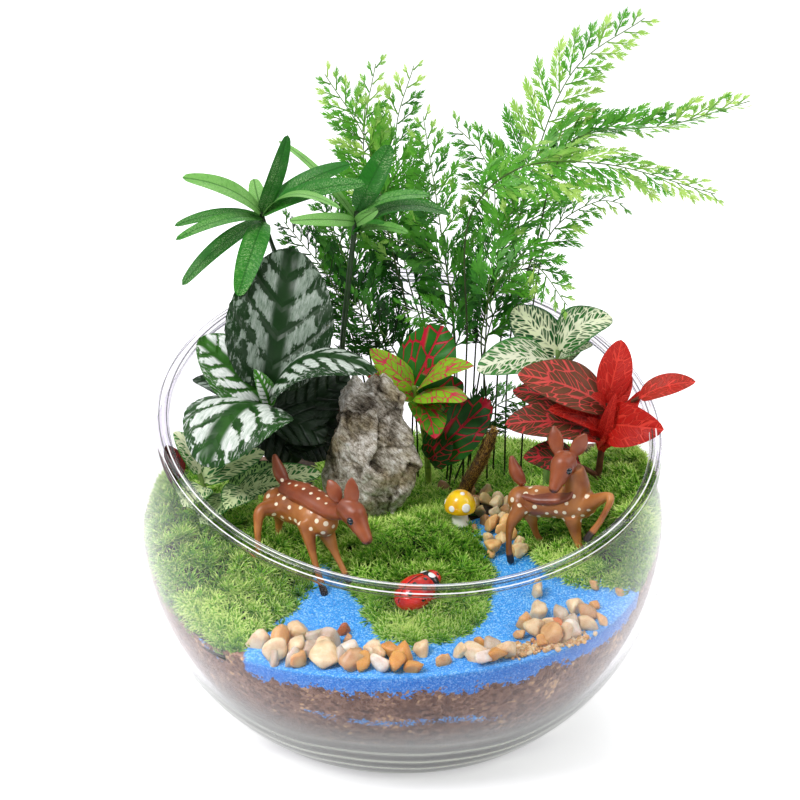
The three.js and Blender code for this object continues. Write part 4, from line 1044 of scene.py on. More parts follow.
# for each leaf its tip, width, where it faces, tone and what else is its own; a low tone also stands for
# painted shade on low leaves
plants = {
    "aluminium_plant": {
        "spacing": 1.5,
        "stems": [([(-43, 16, 58), (-43, 15, 84), (-45, 9, 110)], 1.3)],
        "leaves": [
            ((-37, 27, 156), 35, (0.1, -0.9, 0.4), 0.2, {"blunt": 0.55}),
            ((-8, 0, 121), 19, (0.1, -0.3, 1), 0.4, {"arch": 0.3, "fold": -0.3}),
            ((-68, 15, 128), 21, (-0.2, -0.7, 0.7), 0.6),
            ((-64, -21, 96), 36, (-0.2, -0.45, 0.9), 0.5, {"blunt": 0.55, "arch": 0.25, "fold": -0.1}),
            ((-49, 3, 121), 7, slanted, 1.0), ((-71, 19, 112), 13, (0, -0.4, 1), 0.2),
            # leaves with tone 0 hang low and are painted dark as shade
            ((-25, 9, 94), 18, (0.3, -0.6, 0.7), 0.0), ((-36, 12, 84), 16, (0, -0.8, 0.5), 0.0),
            ((-30, 22, 100), 17, (0.1, -0.8, 0.5), 0.0), ((-24, 24, 84), 15, (0.2, -0.8, 0.5), 0.0),
            ((-52, 22, 90), 14, (-0.2, -0.8, 0.5), 0.0), ((-18, 23, 113), 17, (0.1, -0.8, 0.5), 0.0),
            ((-19, 20, 98), 16, (0.1, -0.8, 0.5), 0.0), ((-24, 24, 96), 15, (0.2, -0.8, 0.5), 0.0),
        ],
    },
    "nerve_plant_left": {
        "spacing": 1.8,
        "stems": [([(-64, -4, 58), (-64, -4, 74), (-67, -7, 88)], 1),
            ([(-65, -5, 80), (-58, -5, 79), (-50, -3, 81)], 0.9)],
        "leaves": [
            ((-75, -8, 103), 10, (0.6, -0.6, 0.5), 0.7), ((-60, 2, 97), 11, viewed, 0.3),
            ((-46, 3, 92), 12, slanted, 0.4), ((-71, -19, 81), 11, slanted, 0.5),
            ((-27, -2, 86), 10, slanted, 0.5, {"stem": 1}), ((-58, -16, 79), 11, slanted, 0.4, {"stem": 1}),
            ((-48, -10, 80), 8, slanted, 0.3, {"stem": 1}), ((-40, -7, 85), 9, slanted, 0.3, {"stem": 1}),
            ((-66, -17, 74), 8, slanted, 0.2, {"stem": 1}), ((-43, 8, 86), 8, slanted, 0.0, {"stem": 1}),
        ],
    },
    "wilted_leaf": {
        "spacing": 0,
        "stems": [([(-75, 3, 62), (-75, 3, 76), (-76, 1, 82)], 0.9)],
        "leaves": [((-79, 4, 94), 9, (0.7, -0.6, 0.2), 0.5)],
    },
    "nerve_plant_red_veined": {
        "spacing": 1.5,
        "stems": [([(9, 31, 58), (9, 31, 76), (7, 30, 92), (4, 25, 108)], 1.2),
            ([(9, 31, 76), (9, 26, 79), (9, 20, 83)], 0.9)],
        "leaves": [
            ((14, 29, 128), 20, viewed, 0.3, {"blunt": 0.5}), ((-11, 25, 121), 9, viewed, 0.9),
            ((24, 12, 119), 11, (-0.3, -0.4, 0.9), 0.9), ((21, 6, 109), 13, upright, 1.0, {"fold": -0.3}),
            ((-14, 28, 114), 8, viewed, 0.6), ((11, 7, 95), 13, (0.3, -0.9, 0.2), 0.5),
            ((21, 31, 107), 14, viewed, 0.2), ((30, 21, 104), 17, viewed, 0.1, {"blunt": 0.5, "stem": 1}),
            ((17, 13, 92), 11, viewed, 0.0, {"stem": 1}),
        ],
    },
    "nerve_plant_white": {
        "spacing": 1.5,
        "stems": [([(50, 24, 58), (50, 24, 78), (52, 25, 100), (53, 24, 121)], 1.2)],
        "leaves": [
            ((71, 25, 132), 15, slanted, 0.6, {"arch": 0.3, "blunt": 0.5}),
            ((38, 33, 133), 15, viewed, 0.4, {"blunt": 0.5}), ((64, 16, 125), 7, slanted, 0.9),
            ((25, 14, 117), 16, slanted, 0.8, {"arch": 0.16, "blunt": 0.5}),
            ((66, 31, 128), 8, slanted, 0.3), ((60, 15, 112), 10, viewed, 0.0),
            ((45, 27, 105), 10, viewed, 0.0),
        ],
    },
    "nerve_plant_red": {
        "spacing": 1.5,
        "stems": [
            ([(66, 6, 60), (66, 6, 80), (67, 4, 96), (68, 4, 109)], 1.3),
            ([(66, 6, 82), (64, 4, 84), (60, 2, 87)], 1),
            ([(68, 4, 106), (72, 3, 108), (78, 0, 112)], 0.8),
        ],
        "leaves": [
            ((73, 13, 128), 11.5, viewed, 0.9), ((38, 3, 119), 18, slanted, 0.35, {"blunt": 0.5}),
            ((62, -3, 114), 6, slanted, 1.0), ((76, 7, 118), 7, viewed, 0.85),
            ((37, 13, 110), 15, slanted, 0.05), ((85, -14, 106), 15, viewed, 0.9, {"arch": 0.15}),
            ((48, -3, 109), 10, slanted, 0.9), ((34, -1, 103), 16, slanted, 0.2, {"blunt": 0.5}),
            ((40, -3, 92), 13, slanted, 0.0, {"stem": 1}), ((96, -4, 119), 9, slanted, 0.65, {"stem": 2}),
            ((61, -2, 106), 6.5, viewed, 0.95), ((66, -6, 101), 7, viewed, 0.85),
            ((60, -6, 99), 6, slanted, 0.7), ((79, 2, 114), 6, viewed, 0.9),
            ((70, -4, 115), 5, slanted, 1.0),
        ],
    },
    "podocarpus_left": {
        "spacing": 0.3,
        "stems": [([(-41, 36, 58), (-41, 36, 100), (-42, 36, 145), (-47.4, 32, 167)], 0.9),
            ([(-41, 36, 120), (-41, 35, 145), (-46.5, 32, 163)], 0.7)],
        "leaves": [
            ((-38, 33, 193), 5, (0.3, -0.9, 0.2), 0.3), ((-72, 18, 182), 6.8, slanted, 0.75),
            ((-17, 29, 184), 6.8, slanted, 0.45, {"arch": 0.1}),
            ((-12, 18, 180), 7, slanted, 0.5, {"arch": 0.1}), ((-50, 38, 177), 5, viewed, 1.0),
            ((-40, 37, 178), 2.4, viewed, 0.9), ((-20, 12, 173), 4, upright, 0.9, {"arch": 0.2}),
            ((-75, 17, 166), 4.2, slanted, 0.5), ((-74, 10, 163), 4.2, slanted, 0.6),
            ((-73, 16, 146), 5.5, slanted, 0.4), ((-54, 10, 144), 7.6, viewed, 0.55, {"arch": 0.13}),
        ],
    },
    "podocarpus_right": {
        "spacing": 1.2,
        "stems": [([(-21, 28, 58), (-21, 28, 112), (-18, 27, 145), (-15, 25, 169)], 1.1)],
        "leaves": [
            ((-4, 31, 190), 7.5, viewed, 0.4), ((9, 18, 176), 6, upright, 0.6),
            ((-42, 47, 188), 2.6, slanted, 1.0), ((-37, 16, 168), 4, viewed, 1.0, {"arch": 0.2}),
            ((-8, 20, 171), 4, viewed, 1.0), ((16, 24, 168), 7, upright, 0.5, {"arch": 0.2}),
            ((2, 15, 164), 5, upright, 0.7), ((-6, 12, 168), 4, upright, 0.5),
        ],
    },
}


# The start of each leaf material: where a spot lies on the blade. Gives its place on the blade's map,
# its distance from the midrib with and without sign as a share of the blade's width, how many side
# veins lie below it, and a value that is 0 on a side vein and 0.5 between two.
def bladePattern(tree, veins, lean, bent=0.5):
    spots = addNode(tree, "UVMap", {"uv_map": "leafMap"})
    centred = maths(tree, "SUBTRACT", part(tree, spots, 1), 0.5)
    off = maths(tree, "ABSOLUTE", centred)
    square = maths(tree, "MULTIPLY", off, off)
    back = maths(tree, "MULTIPLY_ADD", off, -lean, part(tree, spots, 0))
    back = maths(tree, "MULTIPLY_ADD", square, -bent, back)
    run = maths(tree, "MULTIPLY", back, veins)
    between = maths(tree, "PINGPONG", run, 0.5)
    return spots, centred, off, run, between


# ends a leaf material: a satin face, some light through the blade, and streaked colour on the stems
def closeLeaf(material, colour, height, stemCode, roughness, glow, relief=0.0004):
    tree = material.node_tree
    isStem = ownValue(tree, "stemPart")
    streaks = noise(tree, 3.0, 3)
    stem = blend(tree, 0.5, stemCode, ramp(tree, streaks, (0.3, 0.7), ("#7d7d70", "#ffffff")), "MULTIPLY")
    colour = blend(tree, isStem, colour, stem)
    bump = addNode(tree, "Bump", {"Strength": 0.8, "Distance": relief, "Height": height})
    face = addNode(tree, "BsdfPrincipled", {
        "Base Color": colour, "Roughness": roughness, "Specular IOR Level": 0.28, "Normal": bump})
    through = addNode(tree, "BsdfTranslucent", {"Color": colour, "Normal": bump})
    return finished(material, addNode(tree, "MixShader", {0: glow, 1: face, 2: through}))


# Nerve plant leaf: thin satin blade with a net of sunk veins in another colour. tone picks the
# blade's colour from old to young, and low leaves in shade get low tones as painted shade; net and
# thick are the widths of the fine and the main veins.
nerveLooks = {
    "nerve_plant_white": {
        "name": "white-veined nerve plant leaf", "blade": ["#0a2c12", "#195223", "#37802e"],
        "vein": ["#9cc07a", "#e4ecc0", "#f1f4d8"], "veins": 7, "thick": 0.06, "net": 0.12, "rib": 0.03,
        "rim": 0.8,
        "cells": 6, "fine": 1.15, "open": 0.16, "stem": "#7da357", "roughness": 0.42, "glow": 0.22},
    "nerve_plant_left": {
        "name": "pale-veined nerve plant leaf", "blade": ["#12401a", "#236a26", "#4b9238"],
        "vein": ["#8fb86a", "#cfe0a4", "#e6edc4"], "veins": 5.5, "thick": 0.09, "net": 0.13, "rib": 0.04,
        "rim": 0.82,
        "cells": 5.5, "fine": 1.1, "open": 0.14, "stem": "#86a658", "roughness": 0.45, "glow": 0.22},
    "nerve_plant_red_veined": {
        "name": "red-veined nerve plant leaf", "blade": ["#0d3a12", "#2a7d1a", "#93c52c"],
        "vein": ["#a5162c", "#cc1c36", "#e2405a"], "veins": 3.6, "thick": -0.02, "net": 0.042, "rib": 0.022,
        "rim": 0.93,
        "cells": 6, "fine": 0.85, "open": 0.0, "bareBase": 0.08, "stem": "#8fae4a", "roughness": 0.4,
        "glow": 0.25},
    "nerve_plant_red": {
        "name": "red nerve plant leaf", "blade": ["#3c3a1c", "#76452f", "#bb1c13"],
        "vein": ["#c2323a", "#e2564f", "#df3c2e"], "veins": 4.5, "thick": 0.075, "net": 0.04, "rib": 0.03,
        "rim": 0.94,
        "cells": 6, "fine": 0.9, "open": 0.0, "stem": "#7a4a35", "roughness": 0.5, "glow": 0.25},
    "wilted_leaf": {
        "name": "wilted dark red leaf", "blade": ["#2a0f10", "#5e1614", "#8f1f1a"],
        "vein": ["#1a0c0c", "#2c1212", "#3a1512"], "veins": 5, "thick": 0.12, "net": 0.05, "rib": 0.05,
        "rim": 0.95,
        "cells": 6, "fine": 1.0, "open": 0.0, "stem": "#4a2a20", "roughness": 0.7, "glow": 0.15},
}


def nerveMaterial(look):
    material, tree = startMaterial(look["name"])
    spots, centred, off, run, between = bladePattern(tree, look["veins"], 0.95)
    tone = ownValue(tree, "tone")
    margin = ownValue(tree, "margin")
    wobble = noise(tree, 1.6, 2)
    cells = addNode(tree, "CombineXYZ", {0: run, 1: maths(tree, "MULTIPLY", centred, look["cells"])})
    netting = addNode(tree, "TexVoronoi", {
        "feature": "DISTANCE_TO_EDGE", "Vector": cells, "Scale": look["fine"], "Randomness": 0.8}, "Distance")
    netting = maths(tree, "MULTIPLY_ADD", off, look["open"], netting)
    baseward = part(tree, spots, 0)
    bare = fade(tree, baseward, 0.42, 0.12, look.get("bareBase", 0.0))
    netting = maths(tree, "ADD", netting, bare)
    thin = fade(tree, netting, look["net"] * 1.5, look["net"] * 0.7, soft=True)
    shifted = maths(tree, "MULTIPLY_ADD", wobble, 0.12, between)
    tapered = maths(tree, "MULTIPLY_ADD", off, 0.14, shifted)  # thinner to the margin
    base = fade(tree, baseward, 0.2, 0.05, 0.25)
    tapered = maths(tree, "ADD", tapered, base)
    main = fade(tree, tapered, look["thick"] + 0.085, look["thick"] * 0.6 + 0.05, soft=True)
    middle = fade(tree, off, look["rib"], look["rib"] * 0.45, soft=True)
    veins = maths(tree, "MAXIMUM", thin, main)
    inner = fade(tree, margin, 0.99, look["rim"], soft=True)
    veins = maths(tree, "MULTIPLY", veins, inner)
    veins = maths(tree, "MAXIMUM", veins, middle)
    blotches = noise(tree, 6, 3)
    # tone: age, and painted shade on the low leaves
    shade = maths(tree, "MULTIPLY_ADD", blotches, 0.5, tone)
    flesh = ramp(tree, shade, (0.22, 0.68, 1.1), look["blade"])
    cord = ramp(tree, shade, (0.22, 0.62, 1.0), look["vein"])
    colour = blend(tree, veins, flesh, cord)
    height = maths(tree, "SUBTRACT", 1.0, veins)
    return closeLeaf(material, colour, height, look["stem"], look["roughness"], look["glow"])


aluminium = {
    "blade": ["#0a1c08", "#173f12", "#4a8f27"],
    "silver": ["#4a654c", "#b4c3b5", "#eef2ee"],
    "veins": 3.6,
    "lean": 0.8,
    "quilt": 1.0,
}


# Aluminium plant leaf: dark green quilted blade with metallic silver patches between the side
# veins, where air sits under the skin; the patches have torn edges along the veins.
def aluminiumMaterial():
    material, tree = startMaterial("aluminium plant leaf")
    _, centred, off, run, between = bladePattern(tree, aluminium["veins"], aluminium["lean"])
    tone = ownValue(tree, "tone")
    margin = ownValue(tree, "margin")
    fibres = addNode(tree, "CombineXYZ", {0: maths(tree, "MULTIPLY", run, 1.1),
        1: maths(tree, "MULTIPLY", centred, 16)})
    torn = addNode(tree, "TexNoise", {"Vector": fibres, "Scale": 2.2, "Detail": 6, "Roughness": 0.75})
    loose = noise(tree, 6, 3, 0.6)
    island = maths(tree, "MULTIPLY_ADD", torn, 0.75, between)
    island = maths(tree, "MULTIPLY_ADD", loose, 1.0, island)
    island = fade(tree, island, 1.0, 1.09, soft=True)
    nearRib = fade(tree, off, 0.055, 0.12, soft=True)
    broken = maths(tree, "MULTIPLY_ADD", loose, 1.5, 0.04)
    edge = maths(tree, "SUBTRACT", broken, margin)
    nearEdge = fade(tree, edge, 0.0, 0.08, soft=True)
    patch = maths(tree, "MULTIPLY", island, nearRib)
    patch = maths(tree, "MULTIPLY", patch, nearEdge)
    flecks = fade(tree, torn, 0.53, 0.6, 0.85)
    outer = fade(tree, margin, 0.62, 0.9)
    flecks = maths(tree, "MULTIPLY", flecks, outer)
    patch = maths(tree, "MAXIMUM", patch, flecks)
    # painted light: tone says how lit a leaf is, and the silver fades out on the low, shaded leaves
    lit = fade(tree, tone, 0.0, 0.45, bottom=0.08)
    patch = maths(tree, "MULTIPLY", patch, lit)
    # a low tone darkens the blade as painted shade
    shade = maths(tree, "MULTIPLY_ADD", loose, 0.3, tone)
    flesh = ramp(tree, shade, (0.1, 0.6, 1.2), aluminium["blade"])
    # the silver is brighter on the lit leaves, as painted light
    bright = maths(tree, "MULTIPLY_ADD", tone, 0.5, torn)
    silver = ramp(tree, bright, (0.42, 0.62, 0.86), aluminium["silver"])
    colour = blend(tree, patch, flesh, silver)
    height = fade(tree, between, 0.0, 0.18)
    return closeLeaf(material, colour, height, "#4f7a35", 0.4, 0.12, relief=0.0006)


# Podocarpus leaf: leathery and glossy, deep green, with a slightly darker sunk midrib and fine
# crosswise wrinkles. Pale dashes are painted in patches beside the midrib as a highlight broken by the
# wrinkles.
def podocarpusMaterial():
    material, tree = startMaterial("leathery podocarpus leaf")
    _, centred, off, run, _ = bladePattern(tree, 1.0, 0.0)
    tone = ownValue(tree, "tone")
    fibres = addNode(tree, "CombineXYZ", {0: maths(tree, "MULTIPLY", run, 5),
        1: maths(tree, "MULTIPLY", centred, 2.5)})
    wrinkles = addNode(tree, "TexNoise", {"Vector": fibres, "Scale": 1.8, "Detail": 4, "Roughness": 0.65})
    crackle = addNode(tree, "TexNoise", {"Vector": fibres, "Scale": 4.2, "Detail": 5, "Roughness": 0.75})
    shade = maths(tree, "MULTIPLY_ADD", wrinkles, 0.5, tone)
    flesh = ramp(tree, shade, (0.35, 0.8, 1.3), ("#0e3d0b", "#257a1a", "#78b558"))
    groove = fade(tree, off, 0.045, 0.015, 0.6, soft=True)
    beside = fade(tree, off, 0.44, 0.28, soft=True)
    # painted highlight: pale dashes in patches beside the midrib
    paintedSheen = fade(tree, crackle, 0.5, 0.62, 0.5)
    where = noise(tree, 11, 2)
    where = fade(tree, where, 0.4, 0.55)
    paintedSheen = maths(tree, "MULTIPLY", paintedSheen, beside)
    paintedSheen = maths(tree, "MULTIPLY", paintedSheen, where)
    colour = blend(tree, paintedSheen, flesh, "#c3dea4")
    colour = blend(tree, groove, colour, "#1f5f18")
    height = maths(tree, "SUBTRACT", wrinkles, groove)
    return closeLeaf(material, colour, height, "#24431a", 0.36, 0.15)


def makePlants():
    leathery, silvered = podocarpusMaterial(), aluminiumMaterial()
    for name, plant in plants.items():
        forms = [stemForm(path, radius) for path, radius in plant["stems"]]
        used = [0] * len(plant["stems"])
        for count, (tip, width, face, tone, *own) in enumerate(plant["leaves"]):
            own = dict(*own)
            stem = own.pop("stem", 0)
            line, length = curveThrough(plant["stems"][stem][0], 300)
            base = line[int(299 * (1 - used[stem] * plant["spacing"] / length))]
            used[stem] += 1
            look = {"seed": count, "tone": tone, **own}
            if name == "aluminium_plant":
                look |= {"quilt": aluminium["quilt"] * width / 36, "veins": aluminium["veins"],
                    "lean": aluminium["lean"], "notches": 0.03}
            elif name.startswith("nerve"):
                look |= {"quilt": 0.018 * width, "veins": nerveLooks[name]["veins"], "lean": 0.95}
            elif name.startswith("podocarpus"):
                look = {"fold": 0.12, "ruffle": 0.01, "blunt": 0.38, **look}
                width *= 1.15
            forms.append(blade(base, tip, width, face, **look))
        if name.startswith("podocarpus"):
            material, slot = leathery, "podocarpus_leaf"
        elif name == "aluminium_plant":
            material, slot = silvered, "aluminium_plant_leaf"
        else:
            material = nerveMaterial(nerveLooks[name])
            slot = {"nerve_plant_left": "pale_veined_leaf", "nerve_plant_white": "white_veined_leaf",
                    "nerve_plant_red_veined": "red_veined_leaf",
                    "nerve_plant_red": "red_leaf"}.get(name, name)
        addPiece(pieceName(name), joinForms(forms), material, [name])


makePlants()
print("leafy plants made")


# Fern: each frond is divided three times, into pinnae, lobed leaflets and lobes

fern = {
    "stipe": 0.37,  # radius of the stalk at its root
    "density": 1.5,  # pinnae for each one of the solid frond
    "leaflet": 6.4,  # length of a leaflet halfway up a frond
    "leafletSpacing": 1.6,
    "leafletTurn": 0.46,  # radians between a leaflet and its pinna
    "turn": math.radians(44),
    "colours": ["#0b2c07", "#256c14", "#56a428", "#b4d96a"],
    "stalk": ["#262e11", "#5a8430"],
}
# path of the stalk, where its upper side looks, share without pinnae, half width, pairs of pinnae,
# tone (low on low fronds, as painted shade), and for some how much the sides rise and how far the pinnae turn
fernFronds = [
    ([(32, 43, 58), (34, 44, 114), (38, 46, 146), (43, 47, 173), (58, 49, 212), (81, 50, 229)], viewed, 0.5,
        20, 9, 0.7),
    ([(36, 39, 58), (38, 41, 124), (45, 40, 151), (57, 40, 189), (90, 40, 195), (116, 40, 203)], upright,
        0.6, 18, 9, 0.7, (0.6, 0.5)),
    ([(21, 31, 58), (22, 27, 122), (23, 25, 168), (38, 22, 184), (65, 21, 186), (103, 20, 176)], slanted,
        0.58, 18, 9, 0.85, (0, 0.52)),
    ([(41, 35, 58), (45, 34, 136), (51, 32, 161), (66, 31, 171), (74, 31, 170)], slanted, 0.72, 8, 5, 0.6),
    ([(30, 33, 58), (29, 31, 100), (27, 24, 128), (33, 19, 148), (43, 17, 153), (55, 16, 139)], viewed,
        0.66, 12, 5, 0.5),
    ([(10, 51, 58), (8, 54, 119), (0, 57, 160), (-2, 60, 190), (4, 62, 211)], viewed, 0.55, 15, 7, 0.6),
    ([(0, 47, 58), (-5, 49, 108), (-12, 51, 156), (-13, 53, 190), (-9, 54, 213)], viewed, 0.6, 11, 7, 0.5),
    ([(3, 42, 58), (3, 43, 120), (-4, 44, 153), (-12, 45, 188), (-26, 46, 211)], viewed, 0.55, 17, 8, 0.6),
    ([(17, 40, 58), (18, 40, 119), (13, 40, 160), (7, 40, 198)], viewed, 0.5, 15, 7, 0.4),
    ([(15, 36, 58), (18, 35, 124), (13, 35, 148), (-4, 35, 158)], viewed, 0.6, 11, 6, 0.3),
    ([(16, 32, 58), (18, 33, 118), (12, 32, 130), (0, 32, 133)], viewed, 0.66, 9, 5, 0.3),
    ([(-4, 40, 58), (-11, 41, 112), (-18, 41, 144), (-27, 41, 164)], viewed, 0.45, 15, 7, 0.1),
    ([(24, 50, 58), (27, 52, 130), (32, 55, 168), (27, 57, 182), (18, 58, 191)], viewed, 0.6, 14, 6, 0.4),
    ([(28, 38, 58), (29, 38, 125), (31, 36, 150), (39, 36, 172)], viewed, 0.5, 12, 7, 0.3),
]


# low fronds, painted dark as shade, beside the frond with that number
fernUnder = {
    12: [
        ([(-6, 40, 58), (-14, 40, 108), (-24, 39, 140), (-40, 38, 162)], viewed, 0.62, 11, 7, 0.0),
        ([(-2, 44, 58), (-10, 46, 120), (-18, 47, 150), (-29, 47, 172)], viewed, 0.62, 11, 7, 0.05),
    ],
    11: [
        ([(6, 36, 58), (3, 34, 104), (-8, 33, 126), (-22, 32, 140)], viewed, 0.6, 9, 6, 0.05),
        ([(14, 34, 58), (24, 32, 84), (32, 31, 98), (44, 30, 104)], viewed, 0.5, 8, 5, 0.1),
    ],
    9: [
        ([(12, 44, 58), (10, 46, 110), (2, 47, 140), (-4, 47, 172)], viewed, 0.6, 11, 7, 0.1),
        ([(22, 44, 58), (28, 46, 110), (34, 47, 132), (46, 47, 150)], viewed, 0.6, 10, 6, 0.15),
    ],
}


# Hare's-foot fern: firm, slightly glossy blades, fresh yellow-green where they are young and deep
# green below, partly older pinnae and partly painted shade on the low fronds, on wiry dark stalks.
def fernMaterial():
    material, tree = startMaterial("hare's-foot fern frond")
    tone = ownValue(tree, "tone")
    isStem = ownValue(tree, "stemPart")
    mottle = noise(tree, 4, 3)
    shade = maths(tree, "MULTIPLY_ADD", mottle, 0.35, tone)
    blades = ramp(tree, shade, (0.15, 0.42, 0.75, 1.1), fern["colours"])
    wiry = ramp(tree, shade, (0.3, 1.0), fern["stalk"])
    colour = blend(tree, isStem, blades, wiry)
    veinlets = noise(tree, 0.7, 2)
    bump = addNode(tree, "Bump", {"Strength": 0.4, "Distance": 0.0002, "Height": veinlets})
    face = addNode(tree, "BsdfPrincipled", {"Base Color": colour, "Roughness": 0.42,
        "Specular IOR Level": 0.3, "Normal": bump})
    through = addNode(tree, "BsdfTranslucent", {"Color": colour})
    return finished(material, addNode(tree, "MixShader", {0: 0.22, 1: face, 2: through}))


# finger lobes of one leaflet and of the fan at the end of a pinna, 1 long: start, turn, length and width
leafletLobes = [(0.0, 0.0, 1.0, 0.14), (0.2, 0.4, 0.44, 0.1), (0.26, -0.4, 0.42, 0.1),
    (0.42, 0.38, 0.38, 0.09), (0.5, -0.38, 0.34, 0.09),
                (0.64, 0.36, 0.26, 0.08)]
fanLobes = [(0.0, 0.0, 1.15, 0.15), (0.14, 0.32, 0.7, 0.12), (0.14, -0.32, 0.7, 0.12),
    (0.02, 0.52, 0.5, 0.11), (0.02, -0.52, 0.5, 0.11),
            (0.5, 0.24, 0.45, 0.1), (0.5, -0.24, 0.45, 0.1)]


# the lobes as blunt plates: points on the leaflet's plane, with 4 corners a face
def leafletPlate(lobes):
    points, faces = [], []
    for start, bend, long, wide in lobes:
        way, side = np.array([math.cos(bend), math.sin(bend)]), np.array([-math.sin(bend), math.cos(bend)])
        at = len(points)
        for u, v in ((0, 0.3), (0.6, 1.0), (1.0, 0.25), (1.0, -0.25), (0.6, -1.0), (0, -0.3)):
            points.append(np.array([start, 0]) + way * u * long + side * v * wide / 2)
        faces += [[at, at + 1, at + 4, at + 5], [at + 1, at + 2, at + 3, at + 4]]
    return np.array(points), np.array(faces)


leafletPoints, leafletFaces = leafletPlate(leafletLobes)
fanPoints, fanFaces = leafletPlate(fanLobes)
barPoints = np.array([[0, -0.5], [1, -0.3], [1, 0.3], [0, 0.5]])


# flat points turned to point along a way
def pointed(points, way):
    return np.outer(points[:, 0], way) + np.outer(points[:, 1], [-way[1], way[0]])


def frondForm(spec, seed):
    rng = np.random.default_rng(seed)
    path, face, bare, half, pairs, shade, *more = spec
    lift, spreading = more[0] if more else (0, fern["turn"])
    line, length = curveThrough(path, 400)
    tangent = unit(np.gradient(line, axis=0))
    start = bare * length
    pairs = int(pairs * fern["density"])
    flat, raised, tones, stems, faces = [], [], [], [], []

    def lay(points, plate, tone, up, stem):
        at = sum(map(len, flat))
        flat.append(points)
        raised.append(up)
        tones.append(np.full(len(points), tone))
        stems.append(np.full(len(points), stem))
        faces.append(plate + at)

    for k in range(2 * pairs):
        hand = 1 if k % 2 else -1
        share = ((k + 0.5) / (2 * pairs)) ** 0.9
        s = start + (length - start) * share
        reach = max(1.1 * half * (1 - share) ** 0.6 * min(1, 0.4 + 5 * share), 3.2) * rng.uniform(0.9, 1.08)
        turn = spreading * (1.15 - 0.4 * share) + rng.normal(0, 0.05)
        axis = np.array([math.cos(turn), hand * math.sin(turn)])
        droop = rng.normal(0, 0.14)
        # lighter towards the frond's tip, lower on low fronds and at random between pinnae, as painted shade
        young = -0.04 + 0.62 * shade + 0.32 * share + rng.normal(0, 0.1)
        root = np.array([s, hand * 0.3])
        bar = root + pointed(barPoints * [reach, 0.6], axis)
        lay(bar, np.array([[0, 1, 2, 3]]), young, droop * barPoints[:, 0] * reach, 0.6)
        count = max(1, int(reach / fern["leafletSpacing"]))
        longest = min(fern["leaflet"] * (1.25 - 0.5 * share), 0.75 * reach + 1)
        for j in range(count + 1):
            t = min(1, (j + 0.9) / (count + 0.4))
            last = j == count
            size = longest * (1.05 - 0.3 * t) * rng.uniform(0.88, 1.12)
            lean = 0.0
            if not last:
                sign = 1 if (j + k) % 2 else -1
                lean = sign * fern["leafletTurn"] * (1.1 - 0.4 * t) + rng.normal(0, 0.07)
            way = np.array([axis[0] * math.cos(lean) - axis[1] * math.sin(lean),
                            axis[0] * math.sin(lean) + axis[1] * math.cos(lean)])
            points, plate = (fanPoints, fanFaces) if last else (leafletPoints, leafletFaces)
            spread = root + axis * (t - 0.06) * reach + size * pointed(points, way)
            tilt = size * rng.normal(0, 0.16)
            up = droop * t * reach + tilt * points[:, 0] - 0.12 * size * points[:, 0] ** 2
            lay(spread, plate, young + 0.12 * t + rng.normal(0, 0.05), up, 0.0)
    flat, raised = np.vstack(flat), np.concatenate(raised)
    place = np.clip(flat[:, 0] / length, 0, 1) * 399
    centre = np.stack([np.interp(place, np.arange(400), line[:, k]) for k in range(3)], axis=1)
    along = unit(np.stack([np.interp(place, np.arange(400), tangent[:, k]) for k in range(3)], axis=1))
    up = np.asarray(face, float)
    up = unit(up - along * (along @ up)[:, None])
    side = np.cross(along, up)
    bend = lift * np.abs(flat[:, 1]) - 0.35 * flat[:, 1] ** 2 / half + raised
    past = np.maximum(flat[:, :1] - length, 0)
    points = centre + along * past + side * flat[:, 1:2] + up * bend[:, None]
    leaves = form(points, np.vstack(faces), tone=np.concatenate(tones), stemPart=np.concatenate(stems))
    share = np.arange(80) / 79
    radius = np.interp(share, [0, 0.5, 1], [fern["stipe"], 0.34, 0.16])
    green = np.interp(share, [0, bare, 1], [0.0, 0.3, 1.0])
    stalk = tube(line[(share * 399).astype(int)], radius, 6, tone=0.0, stemPart=1.0)
    stalk["values"]["tone"] = np.append(np.repeat(green, 6), [0, 1])
    return joinForms([leaves, stalk])


fernSurface = fernMaterial()
for count, spec in enumerate(fernFronds):
    below = [frondForm(low, 140 + count) for low in fernUnder.get(count + 1, [])]
    forms = [frondForm(spec, 100 + count)] + below
    addPiece(f"fernFrond{count + 1}", joinForms(forms), fernSurface, [f"fern_frond_{count + 1}"])
print("fern made")


# Fawns: soft plastic figures in two parts

